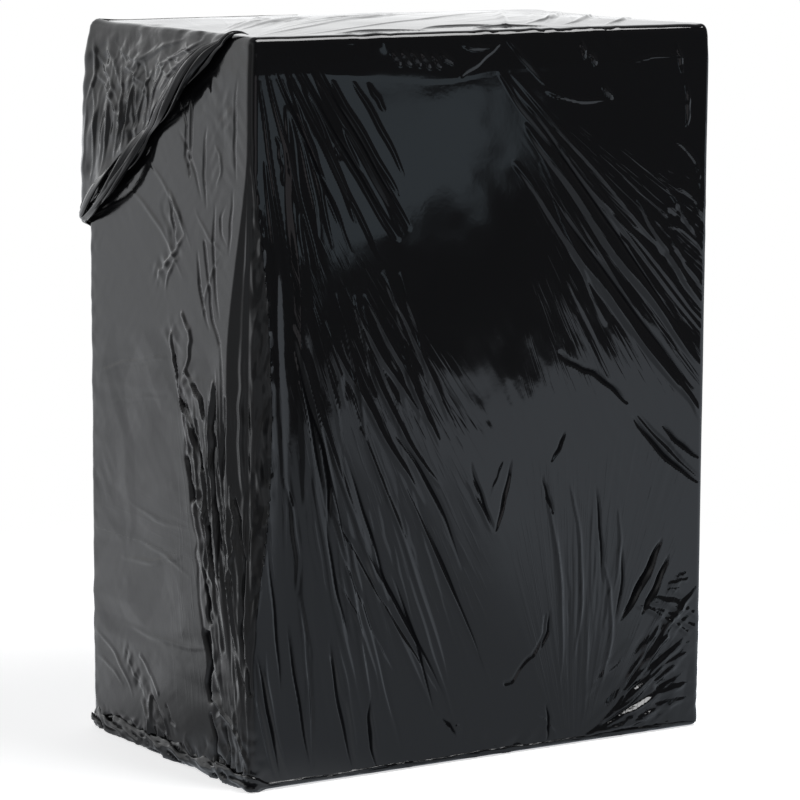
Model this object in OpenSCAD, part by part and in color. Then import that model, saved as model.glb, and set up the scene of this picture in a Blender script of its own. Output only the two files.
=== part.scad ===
// Tall carton sealed in black stretch film. Millimetres, +Z up.
// The origin is the centre of the underside. The wide front faces -Y and the narrow side
// with the twisted film rope faces -X.

/* [Carton] */
// Width of the carton, along the wide front
carton_w = 663; // [400:1:900]
// Depth of the carton, from front to back
carton_d = 399; // [280:1:600]
// Height of the carton
carton_h = 896; // [600:1:1200]
// Rounding of the wrapped edges
edge_r = 9; // [5:0.5:14]
// How far the middle of the top swells above its edges
top_crown = 6; // [2:0.5:12]
// How far the near edge is crushed in at its middle, along the narrow side
crush_side = 56; // [12:1:80]
// How far it is crushed in along the wide front
crush_front = 26; // [12:1:50]

/* [Film] */
// Thickness of all the film turns together
film_t = 2; // [1:0.25:5]
// Height of the tallest folds on the wide faces
wide_fold = 5; // [3:0.5:12]
// Height of the tallest folds on the narrow faces
side_fold = 6; // [3:0.5:12]
// Height of the tallest folds on the top
top_fold = 4; // [2:0.5:9]
// Height of the film band turned over the front rim
rim_band = 24; // [12:1:40]
// Thickness of the turned-over band
rim_t = 1.2; // [0.6:0.2:3]
// Width of the widest single crease
crease_w = 20; // [12:1:30]
// How far a fan's folds bow sideways at most
fold_bow = 20; // [4:1:30]

/* [Hood] */
// How far the hood's lower edge stands off the side
hood_lift = 16; // [10:0.5:24]
// Thickness of the crumpled film in the hood
hood_t = 4; // [3:0.5:7]
// Thickness of the twisted film rope
rope_d = 19; // [12:0.5:26]
// Strands that show round the rope
strands = 3; // [2:1:5]
// Twists along the rope
rope_twists = 1.5; // [0.5:0.25:6]
// Depth of the grooves between the strands
strand_groove = 4; // [2:0.25:6]
// Reach of the gap behind the rope's upper span
upper_gape = 24; // [10:1:40]
// Reach of the gap behind the rope's lower span
lower_gape = 30; // [10:1:44]

/* [Foot] */
// Height of the rolled film along the bottom edges
foot_roll = 17; // [8:0.5:24]
// How far the rolled film stands proud of the faces
foot_proud = 5; // [2:0.5:9]
// Length between two pinches of the rolled film
foot_pinch = 72; // [40:1:110]

/* [Hidden] */

film_colour = "#101113";

wrap_w = carton_w + 2 * film_t;
wrap_d = carton_d + 2 * film_t;
wrap_h = carton_h + 2 * film_t;

// Depth that a fold is rooted below the film's face
root = 4;
// Depth at which the rim of a fold dips under the face
dip = 1.5;
// Steps round a corner of the level outline
corner_steps = 4;
// Crushed edge, as shares of the height: where it starts and ends, and the length over
// which it deepens from below and fades out above
crush_low = 0.12;
crush_high = 0.93;
crush_rise = 0.32;
crush_fall = 0.38;
// Levels at which the crushed edge is drawn
crush_rows = 10;
// How flat the crushed edge is: 0 for a round edge, 1 for a straight bevel
crush_flat = 0.6;
// Stations along a fold
fold_steps = 4;
// Stations along a single crease
crease_steps = 4;

// Where the folds lie: shares of the face's width and height, from its lower left corner
// as it is looked at. Each row: start line from, start line to, end line from, end line to,
// number of folds, then height and sideways bow as shares of the largest.
front_fans = [
    [[0.03, 0.97], [0.14, 0.965], [0.14, 0.56], [0.35, 0.65], 6, 0.8, 0.4],
    [[0.09, 0.62], [0.30, 0.71], [0.20, 0.31], [0.43, 0.43], 7, 1, 0.3],
    [[0.10, 0.46], [0.31, 0.50], [0.30, 0.04], [0.50, 0.09], 8, 0.9, -0.4],
    [[0.07, 0.70], [0.11, 0.71], [0.07, 0.11], [0.12, 0.12], 3, 0.5, 0.15],
    [[0.51, 0.945], [0.60, 0.88], [0.82, 0.42], [0.985, 0.64], 8, 1, -0.6],
    [[0.70, 0.008], [0.76, 0.006], [0.955, 0.215], [0.985, 0.02], 9, 1, -0.3],
];
left_fans = [
    [[0.77, 0.955], [0.95, 0.96], [0.70, 0.52], [0.83, 0.50], 4, 0.6, 0.3],
    [[0.53, 0.57], [0.74, 0.62], [0.80, 0.10], [0.96, 0.14], 7, 1, -0.6],
    [[0.28, 0.58], [0.50, 0.60], [0.44, 0.08], [0.70, 0.06], 5, 0.35, 0.7],
    [[0.04, 0.56], [0.22, 0.58], [0.08, 0.09], [0.36, 0.07], 4, 0.25, 0.5],
];
back_fans = [
    [[0.03, 0.86], [0.12, 0.965], [0.42, 0.48], [0.66, 0.66], 7, 0.8, 0.6],
    [[0.97, 0.44], [0.95, 0.30], [0.46, 0.08], [0.42, 0.22], 6, 0.8, -0.5],
    [[0.03, 0.56], [0.03, 0.40], [0.37, 0.30], [0.30, 0.08], 6, 0.7, 0.4],
    [[0.42, 0.965], [0.72, 0.965], [0.74, 0.74], [0.88, 0.82], 5, 0.5, -0.3],
];
right_fans = [
    [[0.02, 0.66], [0.02, 0.45], [0.975, 0.40], [0.975, 0.24], 6, 0.7, 0.5],
    [[0.02, 0.04], [0.02, 0.22], [0.975, 0.05], [0.975, 0.20], 5, 0.7, -0.4],
    [[0.05, 0.965], [0.36, 0.965], [0.82, 0.66], [0.975, 0.78], 5, 0.6, 0.4],
];
top_fans = [
    [[0.10, 0.10], [0.05, 0.22], [0.80, 0.90], [0.62, 0.95], 5, 0.6, 0.3],
    [[0.66, 0.40], [0.70, 0.20], [0.97, 0.95], [0.975, 0.60], 6, 1, -0.2],
    [[0.36, 0.03], [0.64, 0.03], [0.56, 0.22], [0.70, 0.20], 4, 0.5, 0.15],
];

// Single creases. Each row: from, bend, to, then width and height as shares of the largest.
front_creases = [
    [[0.16, 0.21], [0.19, 0.10], [0.22, 0.01], 0.75, 0.7],
    [[0.66, 0.41], [0.68, 0.27], [0.66, 0.14], 0.50, 0.5],
    [[0.71, 0.32], [0.715, 0.22], [0.72, 0.10], 0.45, 0.4],
    [[0.45, 0.43], [0.51, 0.36], [0.52, 0.31], 0.60, 0.6],
    [[0.56, 0.44], [0.53, 0.38], [0.52, 0.31], 0.45, 0.5],
    [[0.55, 0.10], [0.62, 0.12], [0.65, 0.20], 0.40, 0.5],
    [[0.90, 0.68], [0.96, 0.72], [0.93, 0.77], 0.45, 0.5],
    [[0.90, 0.80], [0.94, 0.81], [0.97, 0.85], 0.40, 0.5],
    [[0.62, 0.915], [0.69, 0.895], [0.76, 0.90], 0.35, 0.4],
    [[0.53, 0.985], [0.57, 0.965], [0.62, 0.93], 0.35, 0.5],
];
left_creases = [
    [[0.49, 0.79], [0.61, 0.73], [0.43, 0.67], 0.55, 0.5],
    [[0.37, 0.83], [0.46, 0.77], [0.50, 0.70], 0.50, 0.4],
    [[0.22, 0.13], [0.31, 0.09], [0.39, 0.06], 0.45, 0.5],
    [[0.39, 0.06], [0.37, 0.04], [0.36, 0.025], 0.45, 0.5],
    [[0.62, 0.45], [0.63, 0.41], [0.66, 0.37], 0.70, 0.9],
    [[0.73, 0.37], [0.74, 0.35], [0.75, 0.32], 0.60, 0.8],
];
back_creases = [
    [[0.30, 0.88], [0.42, 0.80], [0.60, 0.80], 0.60, 0.6],
    [[0.20, 0.44], [0.26, 0.42], [0.36, 0.47], 0.50, 0.5],
    [[0.70, 0.14], [0.80, 0.16], [0.90, 0.10], 0.55, 0.6],
];
right_creases = [
    [[0.30, 0.52], [0.50, 0.56], [0.74, 0.52], 0.55, 0.5],
    [[0.20, 0.80], [0.36, 0.74], [0.40, 0.64], 0.50, 0.5],
];
// Crumples of the hood, which run from the rope towards the top edge
hood_creases = [
    [[0.06, 0.79], [0.08, 0.86], [0.04, 0.93], 0.60, 0.9],
    [[0.16, 0.81], [0.18, 0.86], [0.12, 0.92], 0.55, 0.9],
    [[0.24, 0.84], [0.24, 0.88], [0.30, 0.92], 0.50, 0.9],
    [[0.32, 0.87], [0.34, 0.90], [0.26, 0.94], 0.50, 0.8],
    [[0.38, 0.89], [0.40, 0.92], [0.46, 0.94], 0.50, 0.8],
    [[0.10, 0.95], [0.22, 0.93], [0.34, 0.87], 0.55, 1],
    [[0.20, 0.97], [0.34, 0.93], [0.48, 0.955], 0.45, 0.7],
    [[0.50, 0.93], [0.56, 0.955], [0.66, 0.97], 0.50, 0.8],
];

// Places on a face: share along it, share up it and height off it in mm
function on_side(s, v, out) = [-wrap_w / 2 - out, wrap_d / 2 - s * wrap_d, v * wrap_h];
function on_back(u, v, out) = [-wrap_w / 2 + u * wrap_w, wrap_d / 2 + out, v * wrap_h];
function on_top(u, s, out) = [-wrap_w / 2 + u * wrap_w, wrap_d / 2 - s * wrap_d, wrap_h + out];

// The rope's line: from the top, down across the narrow side and round the back edge.
// It stands well off the side in two places, where the hood gapes.
rope_rest = rope_d * 0.4;
rope_line = [
    on_top(0.14, 0.84, -rope_rest),
    on_top(0.05, 0.87, 0),
    on_side(0.90, 1.0, rope_rest / 2),
    on_side(0.78, 0.977, rope_rest),
    on_side(0.68, 0.949, hood_lift),
    on_side(0.54, 0.909, hood_lift * 0.8),
    on_side(0.405, 0.858, rope_rest),
    on_side(0.30, 0.816, hood_lift * 0.8),
    on_side(0.19, 0.78, hood_lift * 1.05),
    on_side(0.05, 0.742, hood_lift * 0.75),
    on_back(0.015, 0.728, rope_rest * 0.7),
    on_back(0.10, 0.69, rope_rest * 0.6),
    on_back(0.24, 0.63, rope_rest * 0.5),
    on_back(0.40, 0.555, 0),
    on_back(0.50, 0.51, -rope_rest),
];
// Stations between two points of the line
rope_steps = 3;
// Points round one strand of the rope
strand_points = 3;

// Spread of a value that stands for chance, the same on every build
function chance(seed, count, low, high) = rands(low, high, count, seed);
function mix(a, b, t) = a * (1 - t) + b * t;
function curve(a, m, b, t) = mix(mix(a, m, t), mix(m, b, t), t);
function on_face(share, size) = [share[0] * size[0], share[1] * size[1]];
function unit(v) = v / norm(v);
function left_of(v) = unit([-v[1], v[0]]);

// Height across a fold: valley, steep flank to the crest, long flank back down
fold_heights = [0.08, 1, 0.5];
fold_places = [0, 0.34, 0.66];

// Height along a fold, nothing at its ends
function swell(t) = sin(180 * t);

// A ruling of a fan of folds, from its start line to its end line
function ruling(fan, size, t, trim_a, trim_b, height, sink) =
    let (
        a = mix(on_face(fan[0], size), on_face(fan[1], size), t),
        b = mix(on_face(fan[2], size), on_face(fan[3], size), t),
        side = left_of(b - a)
    )
    [
        for (j = [0 : fold_steps])
            let (
                p = j / fold_steps,
                w = mix(trim_a, 1 - trim_b, p),
                flat = mix(a, b, w) + side * fan[6] * fold_bow * swell(w),
                rim = sink || j == 0 || j == fold_steps
            )
            [flat[0], flat[1], rim ? -dip : height * swell(mix(0.04, 0.96, p))]
    ];

function fan_grid(fan, size, tallest, seed) =
    let (
        parts = len(fold_places),
        last = fan[4] * parts,
        trims = chance(seed, last + 1, 0, 0.14),
        tops = chance(seed + 1, fan[4] + 1, 0.45, 1)
    )
    [
        for (i = [0 : last])
            let (
                fold = floor(i / parts),
                t = (fold + fold_places[i % parts]) / fan[4],
                height = tallest * fan[5] * tops[fold] * fold_heights[i % parts],
                sink = i == 0 || i == last
            )
            ruling(fan, size, min(t, 1), trims[i], trims[last - i], height, sink)
    ];

// Closed solid under a grid of points, rooted in the carton at a level plane
module relief(grid, depth) {
    rows = len(grid);
    cols = len(grid[0]);
    span = grid[rows - 1][0] - grid[0][0];
    run = grid[0][cols - 1] - grid[0][0];
    upward = cross([run[0], run[1]], [span[0], span[1]]) > 0;
    net = upward ? grid : [for (i = [rows - 1 : -1 : 0]) grid[i]];
    outer = [for (line = net) each line];
    inner = [for (p = outer) [p[0], p[1], -depth]];
    half = rows * cols;
    function at(i, j) = i * cols + j;
    skin = [
        for (i = [0 : rows - 2], j = [0 : cols - 2])
            each [
                [at(i, j), at(i + 1, j), at(i + 1, j + 1)],
                [at(i, j), at(i + 1, j + 1), at(i, j + 1)],
            ]
    ];
    under = [for (f = skin) [f[2] + half, f[1] + half, f[0] + half]];
    rim = concat(
        [for (j = [0 : cols - 1]) at(0, j)],
        [for (i = [1 : rows - 1]) at(i, cols - 1)],
        [for (j = [cols - 2 : -1 : 0]) at(rows - 1, j)],
        [for (i = [rows - 2 : -1 : 1]) at(i, 0)]
    );
    wall = [
        for (k = [0 : len(rim) - 1])
            let (a = rim[k], b = rim[(k + 1) % len(rim)])
            each [[a, b, b + half], [a, b + half, a + half]]
    ];
    polyhedron(concat(outer, inner), concat(skin, under, wall), convexity = 6);
}

module fold_fans(fans, size, tallest, seed) {
    for (k = [0 : len(fans) - 1])
        relief(fan_grid(fans[k], size, tallest, seed + 10 * k), root);
}

// One crease: a ridge along a bent line, narrow and low at both ends
module crease(row, size, tallest, level) {
    a = on_face(row[0], size);
    m = on_face(row[1], size);
    b = on_face(row[2], size);
    grid = [
        for (side = [-1, -0.25, 0.2, 1])
            [
                for (j = [0 : crease_steps])
                    let (
                        t = j / crease_steps,
                        aim = left_of(mix(m - a, b - m, t)),
                        half = crease_w * row[3] / 2 * mix(0.25, 1, swell(t)),
                        flat = curve(a, m, b, t) + aim * side * half,
                        crest = abs(side) < 1 && j > 0 && j < crease_steps
                    )
                    [flat[0], flat[1], crest ? level + tallest * row[4] * swell(t) : -dip]
            ]
    ];
    relief(grid, root);
}

module creases(rows, size, tallest, level = 0) {
    for (row = rows)
        crease(row, size, tallest, level);
}

// Faces: x runs along the face, y up it and z out of it
module at_front() {
    translate([-wrap_w / 2, -wrap_d / 2, 0]) rotate([90, 0, 0]) children();
}

module at_left() {
    translate([-wrap_w / 2, wrap_d / 2, 0]) rotate([90, 0, -90]) children();
}

module at_right() {
    translate([wrap_w / 2, -wrap_d / 2, 0]) rotate([90, 0, 90]) children();
}

module at_back() {
    translate([wrap_w / 2, wrap_d / 2, 0]) rotate([90, 0, 180]) children();
}

module at_top() {
    translate([-wrap_w / 2, -wrap_d / 2, wrap_h]) children();
}

// How far the near edge is crushed in, as a share, by height as a share
function ease(t) = let (c = min(max(t, 0), 1)) c * c * (3 - 2 * c);
function crush(v) = ease((v - crush_low) / crush_rise) * ease((crush_high - v) / crush_fall);
crush_levels = [for (k = [0 : crush_rows]) mix(crush_low, crush_high, k / crush_rows)];

// Level outline of the wrapped carton, drawn in from its faces. The near edge is wide and
// nearly flat where it is crushed.
function outline(inset, z, dent = 0) =
    let (
        corner = max(edge_r - inset, edge_r * 0.35),
        x = wrap_w / 2 - inset,
        y = wrap_d / 2 - inset,
        flat = min(1, 3 * dent) * crush_flat
    )
    [
        for (k = [0 : 3], step = [0 : corner_steps])
            let (
                t = step / corner_steps,
                a = 90 * (k + t),
                sx = k == 0 || k == 3 ? 1 : -1,
                sy = k < 2 ? 1 : -1,
                near = k == 2,
                wide = near ? max(corner, crush_front * dent) : corner,
                deep = near ? max(corner, crush_side * dent) : corner,
                arc = [sx * (x - wide) + wide * cos(a), sy * (y - deep) + deep * sin(a)],
                chord = [sx * (x - wide * t), sy * (y - deep * (1 - t))],
                p = near ? mix(arc, chord, flat) : arc
            )
            [p[0], p[1], z]
    ];

// The carton in its taut film: flat faces, rounded edges and a swollen top
module taut_body() {
    rings = concat(
        [for (a = [90, 60, 30, 0]) outline(edge_r * (1 - cos(a)), edge_r * (1 - sin(a)))],
        [for (v = crush_levels) outline(0, v * wrap_h, crush(v))],
        [for (a = [0, 30, 60, 90]) outline(edge_r * (1 - cos(a)), wrap_h - edge_r * (1 - sin(a)))],
        [for (in = [0.2, 0.5, 0.8]) outline(in * wrap_d / 2, wrap_h + top_crown * sin(90 * in))]
    );
    tube(rings, 4 * (corner_steps + 1));
}

module front_film() {
    size = [wrap_w, wrap_h];
    at_front() {
        fold_fans(front_fans, size, wide_fold, 100);
        creases(front_creases, size, wide_fold);
    }
}

module left_film() {
    size = [wrap_d, wrap_h];
    at_left() {
        fold_fans(left_fans, size, side_fold, 300);
        creases(left_creases, size, side_fold);
    }
}

module back_film() {
    size = [wrap_w, wrap_h];
    at_back() {
        fold_fans(back_fans, size, wide_fold, 500);
        creases(back_creases, size, wide_fold);
    }
}

module right_film() {
    size = [wrap_d, wrap_h];
    at_right() {
        fold_fans(right_fans, size, side_fold, 700);
        creases(right_creases, size, side_fold);
    }
}

module top_film() {
    at_top()
        fold_fans(top_fans, [wrap_w, wrap_d], top_fold + top_crown, 900);
}

// Band of film turned down over the front rim, deeper in the middle
module rim_film() {
    waves = 24;
    reach = wrap_w * 0.95;
    edge = [
        for (k = [waves : -1 : 0])
            let (
                t = k / waves,
                drop = rim_band * (0.55 + 0.45 * sin(150 * t)) - 2 * sin(900 * t)
            )
            [mix(edge_r, reach, t), wrap_h - drop]
    ];
    top_edge = wrap_h - edge_r;
    at_front()
        translate([0, 0, -root])
            linear_extrude(root + rim_t)
                polygon(concat([[edge_r, top_edge], [reach, top_edge]], edge));
}

// Point of the rope's line and its heading
function spline(p, q, r, s, t) =
    0.5 * (2 * q + (r - p) * t + (2 * p - 5 * q + 4 * r - s) * t * t
        + (3 * q - p - 3 * r + s) * t * t * t);
rope_points = [
    for (k = [0 : len(rope_line) - 2], j = [0 : rope_steps - 1])
        let (last = len(rope_line) - 1)
        spline(rope_line[max(k - 1, 0)], rope_line[k], rope_line[k + 1],
            rope_line[min(k + 2, last)], j / rope_steps)
];
rope_last = len(rope_points) - 1;
function heading(k) =
    unit(rope_points[min(k + 1, rope_last)] - rope_points[max(k - 1, 0)]);
// Direction away from the carton's corner, which is never along the rope
away = [-1, 0.4, 0.4];
function outward(k) = unit(away - heading(k) * (away * heading(k)));
function taper(k) = 0.35 + 0.65 * min(1, 3 * swell(k / rope_last));

// The rope: a tube along its line whose strands wind round it, with grooves between them
module rope() {
    sides = strands * strand_points;
    rings = [
        for (k = [0 : rope_last])
            let (
                u = outward(k),
                v = cross(heading(k), u),
                wind = 360 * rope_twists * k / rope_last
            )
            [
                for (i = [0 : sides - 1])
                    let (
                        a = 360 * i / sides,
                        full = rope_d / 2 * (1 + 0.12 * sin(67 * k)),
                        groove = strand_groove * (1 - abs(sin(180 * i / strand_points))),
                        radius = (full - groove) * taper(k)
                    )
                    rope_points[k] + (u * cos(a + wind) + v * sin(a + wind)) * radius
            ]
    ];
    tube(rings, sides);
}

// Closed tube through rings of points, which turn anticlockwise about the way that they run
module tube(rings, sides) {
    count = len(rings);
    function at(k, i) = k * sides + i % sides;
    skin = [
        for (k = [0 : count - 2], i = [0 : sides - 1])
            each [
                [at(k, i), at(k + 1, i + 1), at(k, i + 1)],
                [at(k, i), at(k + 1, i), at(k + 1, i + 1)],
            ]
    ];
    ends = [
        [for (i = [0 : sides - 1]) at(0, i)],
        [for (i = [sides - 1 : -1 : 0]) at(count - 1, i)],
    ];
    polyhedron([for (ring = rings) each ring], concat(skin, ends), convexity = 8);
}

// Station of the rope at a point of its line
function station(point) = point * rope_steps;
// Part of the rope that lies on the narrow side, where the hood hangs from it
hood_first = station(3);
hood_last = station(9) + 1;
// Rows of the hood from the rope up to the top edge
hood_rows = 5;

// The hood's outer face: from the rope up and in to the top edge
function hood_point(k, t, lift) =
    let (
        p = rope_points[k],
        s = wrap_d / 2 - p[1],
        out = -wrap_w / 2 - p[0],
        crumple = lift * 0.18 * sin(211 * k + 90 * t) * swell(t)
    )
    [s, mix(p[2], wrap_h - edge_r / 2, t), max(mix(out, 1, pow(t, 0.8)) + crumple, 0.5)];

module hood() {
    grid = [
        for (r = [0 : hood_rows])
            [for (k = [hood_last : -1 : hood_first]) hood_point(k, r / hood_rows, hood_lift)]
    ];
    at_left()
        relief(grid, root);
}

// Space behind the hood's lower edge, open from below
module pocket(first, last, reach) {
    at_left()
        hull() {
            for (k = [first : last]) {
                p = rope_points[k];
                s = wrap_d / 2 - p[1];
                gap = max(-wrap_w / 2 - p[0] - hood_t, 0.5);
                translate([s, p[2] - reach, 0])
                    cube([1, 1, gap + 1]);
                translate([s, p[2], 0])
                    cube([1, 1, gap]);
            }
            for (k = [first + 2 : last - 2]) {
                p = rope_points[k];
                translate([wrap_d / 2 - p[1], p[2] + reach, 0])
                    cube([1, 1, 0.5]);
            }
        }
}

module gaping_hood() {
    difference() {
        hood();
        pocket(station(3) + 2, station(5) + 2, upper_gape);
        pocket(station(7), station(9), lower_gape);
    }
    at_left()
        creases(hood_creases, [wrap_d, wrap_h], side_fold / 2, hood_lift / 2);
}

// Crumpled film rolled up along a bottom edge: thick between the pinches, thin at them
foot_section = [[-0.5, 1], [0.6, 0.95], [1, 0.4], [0.75, 0.02], [-0.5, 0.02]];
module foot_film(length, seed) {
    bays = round((length - 2 * edge_r) / foot_pinch);
    steps = 3 * bays;
    plump = chance(seed, steps + 1, 0.75, 1.1);
    rings = [
        for (k = [0 : steps])
            let (
                x = mix(edge_r, length - edge_r, k / steps),
                full = (k % 3 == 0 ? 0.62 : 0.95) * plump[k]
            )
            [
                for (p = foot_section)
                    [x + 3 * sin(83 * k + 120 * p[1]), p[1] * foot_roll * full, p[0] * foot_proud * full]
            ]
    ];
    tube(rings, len(foot_section));
}

// Film bunched over a bottom corner: two lumps, pressed together
module corner_bunch(seed) {
    spread = chance(seed, 4, 0.75, 1.1);
    for (k = [0 : 1]) {
        turn = 60 * (k - 0.5);
        lift = foot_roll * (0.45 + 0.15 * k);
        rotate([0, 0, turn])
            hull() {
                translate([edge_r * 0.4, 0, lift])
                    sphere(d = foot_roll * 0.8 * spread[k], $fn = 6);
                translate([edge_r * 0.35, foot_roll * 0.5 * spread[k + 2], lift * 1.4])
                    sphere(d = foot_roll * 0.5, $fn = 6);
            }
    }
}

module corner_bunches() {
    for (k = [0 : 3]) {
        right = k % 2 == 0 ? 1 : -1;
        back = k < 2 ? 1 : -1;
        translate([right * (wrap_w / 2 - edge_r), back * (wrap_d / 2 - edge_r), 0])
            rotate([0, 0, atan2(back, right)])
                corner_bunch(40 + k);
    }
}

module wrapped_carton() {
    color(film_colour)
        union() {
            taut_body();
            front_film();
            left_film();
            back_film();
            right_film();
            top_film();
            rim_film();
            gaping_hood();
            rope();
            at_left() foot_film(wrap_d, 11);
            at_front() foot_film(wrap_w, 12);
            at_right() foot_film(wrap_d, 13);
            at_back() foot_film(wrap_w, 14);
            corner_bunches();
        }
}

wrapped_carton();
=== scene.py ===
# Looks of the tall carton sealed in black stretch film. Metres, +Z up, in the frame's own place.
import math

import bpy
import numpy as np
from mathutils import Matrix, Vector


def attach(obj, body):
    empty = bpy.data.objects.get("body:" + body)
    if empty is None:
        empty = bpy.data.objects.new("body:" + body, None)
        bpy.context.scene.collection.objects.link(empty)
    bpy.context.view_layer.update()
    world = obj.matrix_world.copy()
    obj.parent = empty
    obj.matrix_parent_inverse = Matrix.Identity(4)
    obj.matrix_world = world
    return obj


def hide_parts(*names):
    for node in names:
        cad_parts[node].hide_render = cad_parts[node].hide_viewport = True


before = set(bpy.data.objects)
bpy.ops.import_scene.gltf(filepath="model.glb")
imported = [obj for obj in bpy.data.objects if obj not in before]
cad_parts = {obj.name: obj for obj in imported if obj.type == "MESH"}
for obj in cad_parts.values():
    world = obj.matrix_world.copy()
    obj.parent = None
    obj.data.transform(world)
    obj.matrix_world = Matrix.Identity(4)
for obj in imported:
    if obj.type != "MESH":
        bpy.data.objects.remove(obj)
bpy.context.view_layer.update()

NODE = "wrapped_carton"

# The wrapped carton, as in the frame: width along X, depth along Y, height along Z
WIDTH, DEPTH, HEIGHT = 0.667, 0.403, 0.900
EDGE_R = 0.009
TOP_CROWN = 0.006
MM = 0.001
# Sides of the cells of the film's mesh, finest on the faces with the finest folds
COARSE = 1
ROW = 2.2 * MM * COARSE
CELLS = {"left": 2.0 * MM, "front": 1.7 * MM, "right": 4.5 * MM, "back": 6.5 * MM}
# Distance round the carton, and where each face starts on it, counted from the near left edge
GIRTH = 2 * (WIDTH + DEPTH)
FACE_LENGTHS = {"front": WIDTH, "right": DEPTH, "back": WIDTH, "left": DEPTH}
FACE_STARTS = {"left": -DEPTH, "front": 0.0, "right": WIDTH, "back": WIDTH + DEPTH}

# The photograph's camera
CAMERA_PLACE = (-2.541, -3.981, 1.146)
CAMERA_YAW, CAMERA_PITCH, CAMERA_ROLL = 32.58, 8.71, 0.35
CAMERA_LENS = 169.6


def make_camera():
    """Camera at the photograph's place, with its lens for a square picture."""
    data = bpy.data.cameras.new("camera")
    data.lens = CAMERA_LENS
    data.sensor_width = 36
    camera = bpy.data.objects.new("camera", data)
    bpy.context.scene.collection.objects.link(camera)
    camera.location = CAMERA_PLACE
    turn = Matrix.Rotation(math.radians(-CAMERA_YAW), 4, "Z")
    tilt = Matrix.Rotation(math.radians(90 - CAMERA_PITCH), 4, "X")
    roll = Matrix.Rotation(math.radians(CAMERA_ROLL), 4, "Z")
    camera.rotation_euler = (turn @ tilt @ roll).to_euler()
    bpy.context.scene.camera = camera


# Noise, folds and bands that shape the film


def smooth(t):
    """Ease from 0 to 1, level at both ends."""
    t = np.clip(t, 0, 1)
    return t * t * (3 - 2 * t)


def noise(points, size, seed):
    """Smooth noise from -1 to 1 in space, with cells of the given size along each axis."""
    table = np.random.default_rng(seed).random(4096) * 2 - 1
    cell = points / np.asarray(size)
    corner = np.floor(cell).astype(np.int64)
    part = smooth(cell - corner)
    total = np.zeros(points.shape[:-1])
    for step in range(8):
        offset = np.array([step & 1, step >> 1 & 1, step >> 2 & 1])
        key = (corner + offset) @ np.array([73856093, 19349663, 83492791])
        weight = np.prod(np.where(offset == 1, part, 1 - part), axis=-1)
        total += weight * table[(key ^ (key >> 13)) % 4096]
    return total


def crumple(points, size, seed):
    """Straight creases in several directions that come and go between flat facets, about 0."""
    rng = np.random.default_rng(seed)
    total = np.zeros(points.shape[:-1])
    for k in range(6):
        way = rng.normal(size=3)
        way /= np.linalg.norm(way)
        bend = 0.6 * noise(points + 5 * k, size * 2.2, seed + 20 + k)
        phase = points @ way / (size * rng.uniform(0.8, 1.8)) + bend
        patch = smooth(noise(points + 9 * k, size * 1.3, seed + 40 + k) * 1.6 + 0.2)
        total += (0.5 - 2 * np.abs(phase - np.floor(phase) - 0.5)) * patch
    return total


def mask(u, v, low, high, soft=30):
    """1 inside a box given in mm, easing to 0 outside it."""
    across = smooth((u / MM - low[0]) / soft + 0.5) * smooth((high[0] - u / MM) / soft + 0.5)
    return across * smooth((v / MM - low[1]) / soft + 0.5) * smooth((high[1] - v / MM) / soft + 0.5)


# Narrowest fold that the mesh can carry, in mm
LEAST_FOLD = 7.5
# Narrowest flank of a fold, in cells of the mesh
LEAST_FLANK = 1.5
# Rounding of a fold's crest, as a share of its flank
CREST = 0.16
# Radius at which a fan's streaks have their stated width
FAN_REACH = 0.5


def pull_places(u, v, pull):
    """Distances across and along a pull's streaks, and how high they stand, in mm."""
    apex, box, (least, most), height = pull
    away_u, away_v = u - apex[0] * MM, v - apex[1] * MM
    angle = np.arctan2(away_v, away_u)
    turn = np.degrees(angle)
    strength = height * smooth((turn - least) / 8 + 0.5) * smooth((most - turn) / 8 + 0.5)
    return angle * FAN_REACH, np.hypot(away_u, away_v), strength * mask(u, v, box[:2], box[2:], 60)


def drawn(u, v, angle, stretch):
    """Places for crumples that are drawn out at an angle, in degrees up from the right."""
    turn = math.radians(angle)
    along, across = u * math.cos(turn) + v * math.sin(turn), v * math.cos(turn) - u * math.sin(turn)
    return np.stack([along / stretch, across, np.zeros_like(across)], axis=-1)


def vein(u, v, points, width):
    """1 on a bent, wavering line given in mm, easing to 0 at the given width from it."""
    total = np.zeros(np.shape(u))
    (least_u, least_v), (most_u, most_v) = np.min(points, axis=0), np.max(points, axis=0)
    reach = 1.4 * width + 5
    near = (u > (least_u - reach) * MM) & (u < (most_u + reach) * MM)
    near &= (v > (least_v - reach) * MM) & (v < (most_v + reach) * MM)
    if not near.any():
        return total
    flat = np.stack([u[near], v[near], np.zeros(np.count_nonzero(near))], axis=-1)
    x, y = flat[:, 0] + 0.0035 * noise(flat, 0.018, 37), flat[:, 1] + 0.0035 * noise(flat, 0.018, 38)
    away = np.full(len(flat), np.inf)
    for (au, av), (bu, bv) in zip(points[:-1], points[1:]):
        du, dv = (bu - au) * MM, (bv - av) * MM
        t = np.clip(((x - au * MM) * du + (y - av * MM) * dv) / (du * du + dv * dv), 0, 1)
        away = np.minimum(away, np.hypot(x - au * MM - t * du, y - av * MM - t * dv))
    total[near] = smooth(1 - away / (width * MM * (1 + 0.35 * noise(flat, 0.03, 39))))
    return total


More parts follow.
